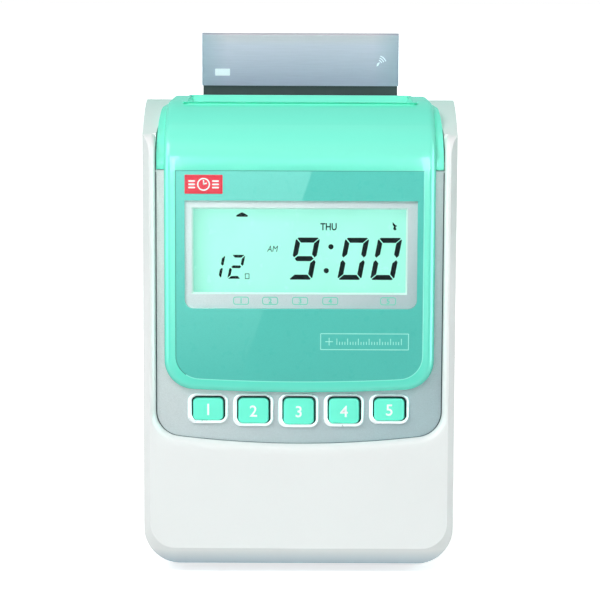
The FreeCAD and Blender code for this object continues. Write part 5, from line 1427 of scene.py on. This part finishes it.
@dataclass
class KeyRow:
    """Five crowned keys, each in a dark strip of painted shade and a bright rim."""

    count: int = 5
    pitch: float = 21.2
    row: float = 78.8
    trim: float = 2000.0
    half: Pair = (7.25, 6.4)
    corner: float = 2.2
    face: float = -54.6
    edge: float = 0.8
    crown: float = 0.2
    flange_front: float = -51.2
    flange_back: float = -50.0
    flange_reach: float = 1.6
    stem_radius: float = 1.7
    stem_tip: float = -44.6
    slack: Pair = (0.12, 0.2)
    rim_inner: float = 0.62
    rim_outer: Pair = (2.1, 1.55)
    rim_shift: tuple = ((-0.3, 0.0), (0.12, 0.55))
    rim_front: float = -55.35
    rim_back: float = -54.2
    # Painted shade: how far the dark strip reaches round each key and the depths it spans.
    gasket_reach: Pair = (0.03, 0.59)
    gasket_span: Pair = (-53.9, -52.6)

    def place(self, number: int) -> Triple:
        """A key's middle and half height: z = row + x * x / trim, half = tall - x * x / trim.

        Args:
            number: which key, from 0.

        Returns:
            X and Z of its middle, and half its height.
        """
        x = self.pitch * (number - self.count // 2)
        drop = x * x / self.trim
        return x, self.row + drop, self.half[1] - drop

    def cap(self, number: int) -> None:
        """A key from its stem's tip to its crowned face, as a pile of rounded rectangles.

        The stem is a circle, the flange a rounded rectangle wider than the cap and the cap's edge a
        quarter round.  The face lies at face + crown * s ** 2 on the outline that is s times its
        size.  The cap is a touch smaller than its hole on the right and at the top.

        Args:
            number: which key, from 0.
        """
        x, z, tall = self.place(number)
        turn = np.linspace(0, 90, 7) * math.pi / 180
        share = 1 - np.array([0.30, 0.6, 0.85])
        side = self.edge * (1 - np.cos(turn))
        trim = np.array([0.0] * 4 + [1.0] * 11)

        def widths(stem: float, reach: float, size: float) -> Points:
            """One measure of every outline, from the stem's tip to the middle of the face."""
            return np.concatenate([[stem] * 2, [size + reach] * 2, [size], size - side,
                                   (size - self.edge) * share])

        wide = widths(self.stem_radius, self.flange_reach, self.half[0]) - trim * self.slack[0]
        high = widths(self.stem_radius, self.flange_reach, tall) - trim * self.slack[1]
        radius = np.maximum(widths(self.stem_radius, 1.0, self.corner), 0.05)
        shoulder = self.face + self.crown + self.edge
        level = np.concatenate([[self.stem_tip, self.flange_back, self.flange_back,
                                 self.flange_front, self.flange_front],
                                shoulder - self.edge * np.sin(turn),
                                self.face + self.crown * share ** 2])
        lines = rounded_outline(wide, high, np.minimum(radius, np.minimum(wide, high)), 9)
        shift = np.column_stack([x - trim * self.slack[0], z - trim * self.slack[1]])
        made = piece(f"key_cap_{number + 1}", ring_stack(upright(lines, level, shift)), KEY,
                     Body.BASE, 50.0)
        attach(made, f"button_{number + 1}")
        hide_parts(f"key_{number + 1}")

    def numeral(self, number: int) -> None:
        """The key's white number, sunk into its crown.

        Args:
            number: which key, from 0.
        """
        x, z, _ = self.place(number)
        mark = written(str(number + 1), 5.4, (x - self.slack[0], z - 0.4), self.face - 0.02, 0.3,
                       weight=0.012)
        made = piece(f"key_numeral_{number + 1}", mark, WHITE_INK, Body.BASE, None)
        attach(made, f"button_{number + 1}")

    def rings(self, wide: Points, tall: Points, level: Points, shift: Points) -> Surface:
        """A closed ring round each key.

        Args:
            wide: how far each line of a ring stands outside the key's sides.
            tall: the same for its top and foot.
            level: Y of each line.
            shift: how far each line is moved in X and Z.

        Returns:
            All the rings.
        """
        made = []
        for number in range(self.count):
            x, z, half_tall = self.place(number)
            lines = rounded_outline(self.half[0] + wide, half_tall + tall, self.corner + tall, 9)
            made.append(border(lines, level, shift + (x, z)))
        return together(made)

    def rims(self) -> None:
        """The bright rims: front = back + rise * sin(t) ** 0.6 from the outer line inwards.

        The outer line stands a little to the left and the inner one a little high, so that a rim is
        broad at its left and its foot, and the painted shade shows mostly above the key.
        """
        t = np.linspace(0, math.pi, 13)
        share = (1 - np.cos(t)) / 2
        wide, tall = (outer + (self.rim_inner - outer) * share for outer in self.rim_outer)
        level = self.rim_back + (self.rim_front - self.rim_back) * np.sin(t) ** 0.6
        level[[0, -1]] = self.rim_back + 1.0
        outer, inner = np.array(self.rim_shift)
        made = self.rings(wide, tall, level, outer + (inner - outer) * share[:, None])
        piece("key_rims", made, RIM, Body.BASE, 60.0)

    def gaskets(self) -> None:
        """Dark flat strips of painted shade in the gaps round the keys; their outer line follows
        the rims.
        """
        near, far = self.gasket_reach
        front, back = self.gasket_span
        line = np.array([near, near, far, far])
        shift = np.array([(0.0, 0.0), (0.0, 0.0), self.rim_shift[1], self.rim_shift[1]])
        made = self.rings(line, line, (back, front, front, back), shift)
        piece("key_gaskets", made, KEY_GAP_SHADE, Body.BASE, 60.0)

    def build(self) -> None:
        """Makes the keys, the painted shade in their gaps and their rims."""
        for number in range(self.count):
            self.cap(number)
            self.numeral(number)
        self.gaskets()
        self.rims()


@dataclass
class Mechanism:
    """The stamp: carriage, ribbon, card feed and lock."""

    def build(self) -> None:
        """Finishes the mechanism's solids."""
        dress(ZINC, "side_frames", "frame_base", "drive_shelf", "card_guide_front",
              "card_guide_rear", "pinch_bracket", "lock_nut")
        dress(PLATEN, "platen", "carriage_belt", "feed_rollers", "pinch_roller")
        dress(STEEL, "carriage_rods", "feed_shaft", "feed_motor_shaft")
        dress(BLACK, "print_carriage", "print_head", "ribbon_cassette", "card_sensor", "feed_motor",
              "carriage_motor")
        dress(FABRIC, "ribbon")
        dress(BRASS, "motor_pulley", "idler_pulley", "feed_pinion")
        dress(NYLON, "feed_gear")
        dress(SLATE, "ribbon_knob")
        dress(CHROME, "lock_barrel", "lock_plug")


@dataclass
class Electronics:
    """The boards, the power module and the backup cells."""

    def build(self) -> None:
        """Finishes the electronics."""
        dress(BOARD, "main_board")
        dress(BLACK, "board_parts", "power_module")
        dress(CELLS, "backup_battery")


# -------------------------------------------------------------------------- studio
@dataclass
class Studio:
    """A pale floor, soft lamps, sheets that only gloss sees, the sky and the camera; in metres.

    A lamp has a name, a place, a side, a power in watts, and whether gloss shows it.  A sheet has a
    name, a colour, a strength, the two ends of its foot, the height of its head and how far the
    head stands behind the foot.  The first is a pale green flag behind the machine, so that level
    tops keep their colour, and the others stand at its sides and draw light lines along its rounds.
    """

    focus: Triple = (0.0, -0.058, 0.1175)
    distance: float = 1.150
    elevation: float = 8.0
    lens: float = 148.5
    shift: Pair = (0.00117, 0.05)
    roll: float = 0.234
    aim: Triple = (0.0, 0.0, 0.12)
    sky: float = 0.27
    floor_reach: float = 30.0
    floor_shade: Shade = (236, 236, 236)
    floor_fade: tuple = (0.12, 0.7, 0.70, 1.1)
    card_place: float = -0.5
    card_half: float = 0.42
    card_span: Pair = (-0.05, 0.42)
    card_shade: Shade = (215, 255, 243)
    card_dark: float = 0.02
    panel_slope: float = 0.3433
    panel_start: Pair = (0.008, 0.157)
    panel_edge: tuple = (0.0, 0.001, 0, 1)
    panel_up: tuple = ((0.02, 0.17, 0, 1), (0.161, 0.168, 1, 0))
    panel_power: float = 3.6
    bars_across: tuple = ((0.0799, 0.0806, 0, 1), (0.0835, 0.0848, 1, 0))
    bars_up: tuple = ((0.02, 0.07, 4, 16), (0.15, 0.175, 1, 4))
    head_up: tuple = ((0.235, 0.30, 0, 3.0), (0.36, 0.42, 1, 0.33))
    lamps: tuple = (("left lamp", (-0.56, -0.74, 0.95), 0.6, 7.1, True),
                    ("right lamp", (1.35, -0.95, 0.6), 0.8, 2.6, True),
                    ("front lamp", (-0.15, -1.25, 1.35), 1.0, 9.0, False),
                    ("rear lamp", (1.15, 1.15, 0.45), 0.8, 5.0, False))
    sheets: tuple = (("rear_flag", (160, 240, 222), 0.9, (-1.2, 0.9), (1.2, 0.9), 1.6, -0.3),
                     ("left_strip", (255, 255, 255), 14.0, (-0.92, -0.46), (-1.0, -0.22), 1.1, 0),
                     ("right_strip", (255, 255, 255), 4.0, (0.92, -0.46), (1.0, -0.22), 1.1, 0),
                     ("left_gleam", (190, 255, 240), 7.0, (-0.4, -0.5), (-0.56, -0.1), 0.45, 0),
                     ("right_gleam", (190, 255, 240), 14.0, (0.4, -0.5), (0.56, -0.1), 0.45, 0))

    def seen(self, graph: Graph) -> Socket:
        """1 for rays from the eye, from gloss and through glass; 0 for those that light things.

        Args:
            graph: the tree that asks.

        Returns:
            The share's socket.
        """
        path = graph.step("ShaderNodeLightPath").outputs
        return graph.chain("MAXIMUM", path["Is Camera Ray"], path["Is Glossy Ray"],
                           path["Is Transmission Ray"])

    def flat(self, name: str, corners: list, surface: bpy.types.Material) -> bpy.types.Object:
        """Puts a flat sheet with these four corners into the studio.

        Args:
            name: what it is called.
            corners: its four corners.
            surface: its material.

        Returns:
            The new object.
        """
        mesh = bpy.data.meshes.new(name)
        mesh.from_pydata(corners, [], [(0, 1, 2, 3)])
        mesh.materials.append(surface)
        made = hang(name, mesh)
        return made

    def floor(self) -> None:
        """A white floor that fades into the white round it and keeps the machine's shadow."""
        graph = Graph("white floor")
        away = graph.step("ShaderNodeVectorMath", {0: graph.spot}, operation="LENGTH").outputs[1]
        lift = graph.ramp(away, *self.floor_fade)
        strength = graph.math("MULTIPLY", self.seen(graph), lift)
        sheet = graph.step("ShaderNodeBsdfPrincipled", {
            "Base Color": linear(self.floor_shade), "Roughness": 0.9, "Specular IOR Level": 0.1,
            "Emission Color": (1, 1, 1, 1), "Emission Strength": strength})
        corners = [(x * self.floor_reach, y * self.floor_reach, 0)
                   for x, y in ((-1, -1), (1, -1), (1, 1), (-1, 1))]
        self.flat("floor", corners, graph.close(sheet.outputs[0]))

    def sky_light(self) -> None:
        """An even white all round: full where it is seen, softer where it lights."""
        graph = Graph("studio", bpy.data.worlds)
        strength = graph.ramp(self.seen(graph), 0.0, 1.0, self.sky, 1.0)
        back = graph.step("ShaderNodeBackground", {"Color": (1, 1, 1, 1), "Strength": strength})
        graph.step("ShaderNodeOutputWorld", {0: back.outputs[0]})
        bpy.context.scene.world = graph.holder

    def lamp(self, name: str, place: Triple, size: float, power: float, mirrored: bool) -> None:
        """One square soft lamp aimed at the machine's middle.

        Args:
            name: what it is called.
            place: where it hangs.
            size: its side.
            power: its power in watts.
            mirrored: whether gloss shows it.
        """
        light = bpy.data.lights.new(name, "AREA")
        light.size = size
        light.energy = power
        holder = hang(name, light)
        holder.location = place
        holder.visible_glossy = mirrored
        aim = Vector(self.aim) - Vector(place)
        holder.rotation_euler = aim.to_track_quat("-Z", "Y").to_euler()

    def sheet(self, name: str, surface: bpy.types.Material, near: Pair, far: Pair, high: float,
              lean: float = 0.0, low: float = 0.0, hidden: tuple = ("transmission",)) -> None:
        """Hangs a flat sheet that only gloss sees.

        Args:
            name: what it is called.
            surface: its material.
            near: X and Y of one end of its foot.
            far: X and Y of the other end.
            high: Z of its head.
            lean: how far the head stands behind the foot.
            low: Z of its foot.
            hidden: the further kinds of ray that it does not meet.
        """
        head = [(x, y + lean, high) for x, y in (far, near)]
        hung = self.flat(name, [(*near, low), (*far, low), *head], surface)
        for kind in ("camera", "diffuse", "shadow", "volume_scatter", *hidden):
            setattr(hung, f"visible_{kind}", False)

    def glow(self, graph: Graph, shade: Shade, strength: float | Socket) -> bpy.types.Material:
        """Ends a material's tree in a glow of one colour."""
        light = graph.step("ShaderNodeEmission", {"Color": linear(shade), "Strength": strength})
        return graph.close(light.outputs[0])

    def card(self) -> None:
        """A dark card before the machine that only gloss sees, with pale lights on it.

        A slanted panel lies on the window plate: its right edge is the line
        x = slope * (z - start z) + start x, it fades out towards the card's foot and ends level
        with the head of the plate's mirror image.  A bar at each side lies on the tongue's rim and
        grows stronger above the plate, and a band across the card's head lies along the foot of the
        hood.
        """
        graph = Graph("reflector card")
        across, up = graph.height(0), graph.height(2)
        start_x, start_z = self.panel_start
        edge = graph.math("ADD", graph.math("MULTIPLY", up, self.panel_slope),
                          start_x - self.panel_slope * start_z)
        inside = graph.ramp(graph.math("SUBTRACT", edge, across), *self.panel_edge)
        panel = graph.chain("MULTIPLY", inside, graph.fades(up, self.panel_up), self.panel_power)
        bars = graph.math("MULTIPLY",
                          graph.fades(graph.math("ABSOLUTE", across), self.bars_across),
                          graph.fades(up, self.bars_up))
        strength = graph.chain("ADD", panel, bars, graph.fades(up, self.head_up), self.card_dark)
        surface = self.glow(graph, self.card_shade, strength)
        low, high = self.card_span
        self.sheet("reflector_card", surface, (-self.card_half, self.card_place),
                   (self.card_half, self.card_place), high, low=low, hidden=())

    def camera(self) -> None:
        """The camera: a long lens a little above the machine's middle."""
        angle = math.radians(self.elevation)
        view = bpy.data.cameras.new("camera")
        view.lens = self.lens
        view.sensor_width = 36.0
        view.shift_x, view.shift_y = self.shift
        view.clip_end = 200.0
        target = Vector(self.focus)
        place = target + self.distance * Vector((0, -math.cos(angle), math.sin(angle)))
        turn = (target - place).to_track_quat("-Z", "Y").to_matrix().to_4x4()
        holder = hang("camera", view)
        holder.matrix_world = (Matrix.Translation(place) @ turn
                               @ Matrix.Rotation(math.radians(self.roll), 4, "Z"))
        bpy.context.scene.camera = holder

    def build(self) -> None:
        """Sets the whole studio."""
        bpy.context.scene.view_settings.view_transform = "Standard"
        self.floor()
        self.sky_light()
        self.card()
        for name, shade, strength, *corners in self.sheets:
            self.sheet(name, self.glow(Graph(name), shade, strength), *corners)
        for lamp in self.lamps:
            self.lamp(*lamp)
        self.camera()


def main() -> None:
    """Builds and finishes the machine, sub-assembly by sub-assembly, and lights it."""
    logging.basicConfig(level=logging.INFO, format="%(message)s")
    for assembly in (Case(), Receiver(), Cover(), Display(), KeyRow(), Mechanism(), Electronics(),
                     Studio()):
        LOG.info("-- %s", type(assembly).__name__)
        assembly.build()


if __name__ == "__main__":
    main()
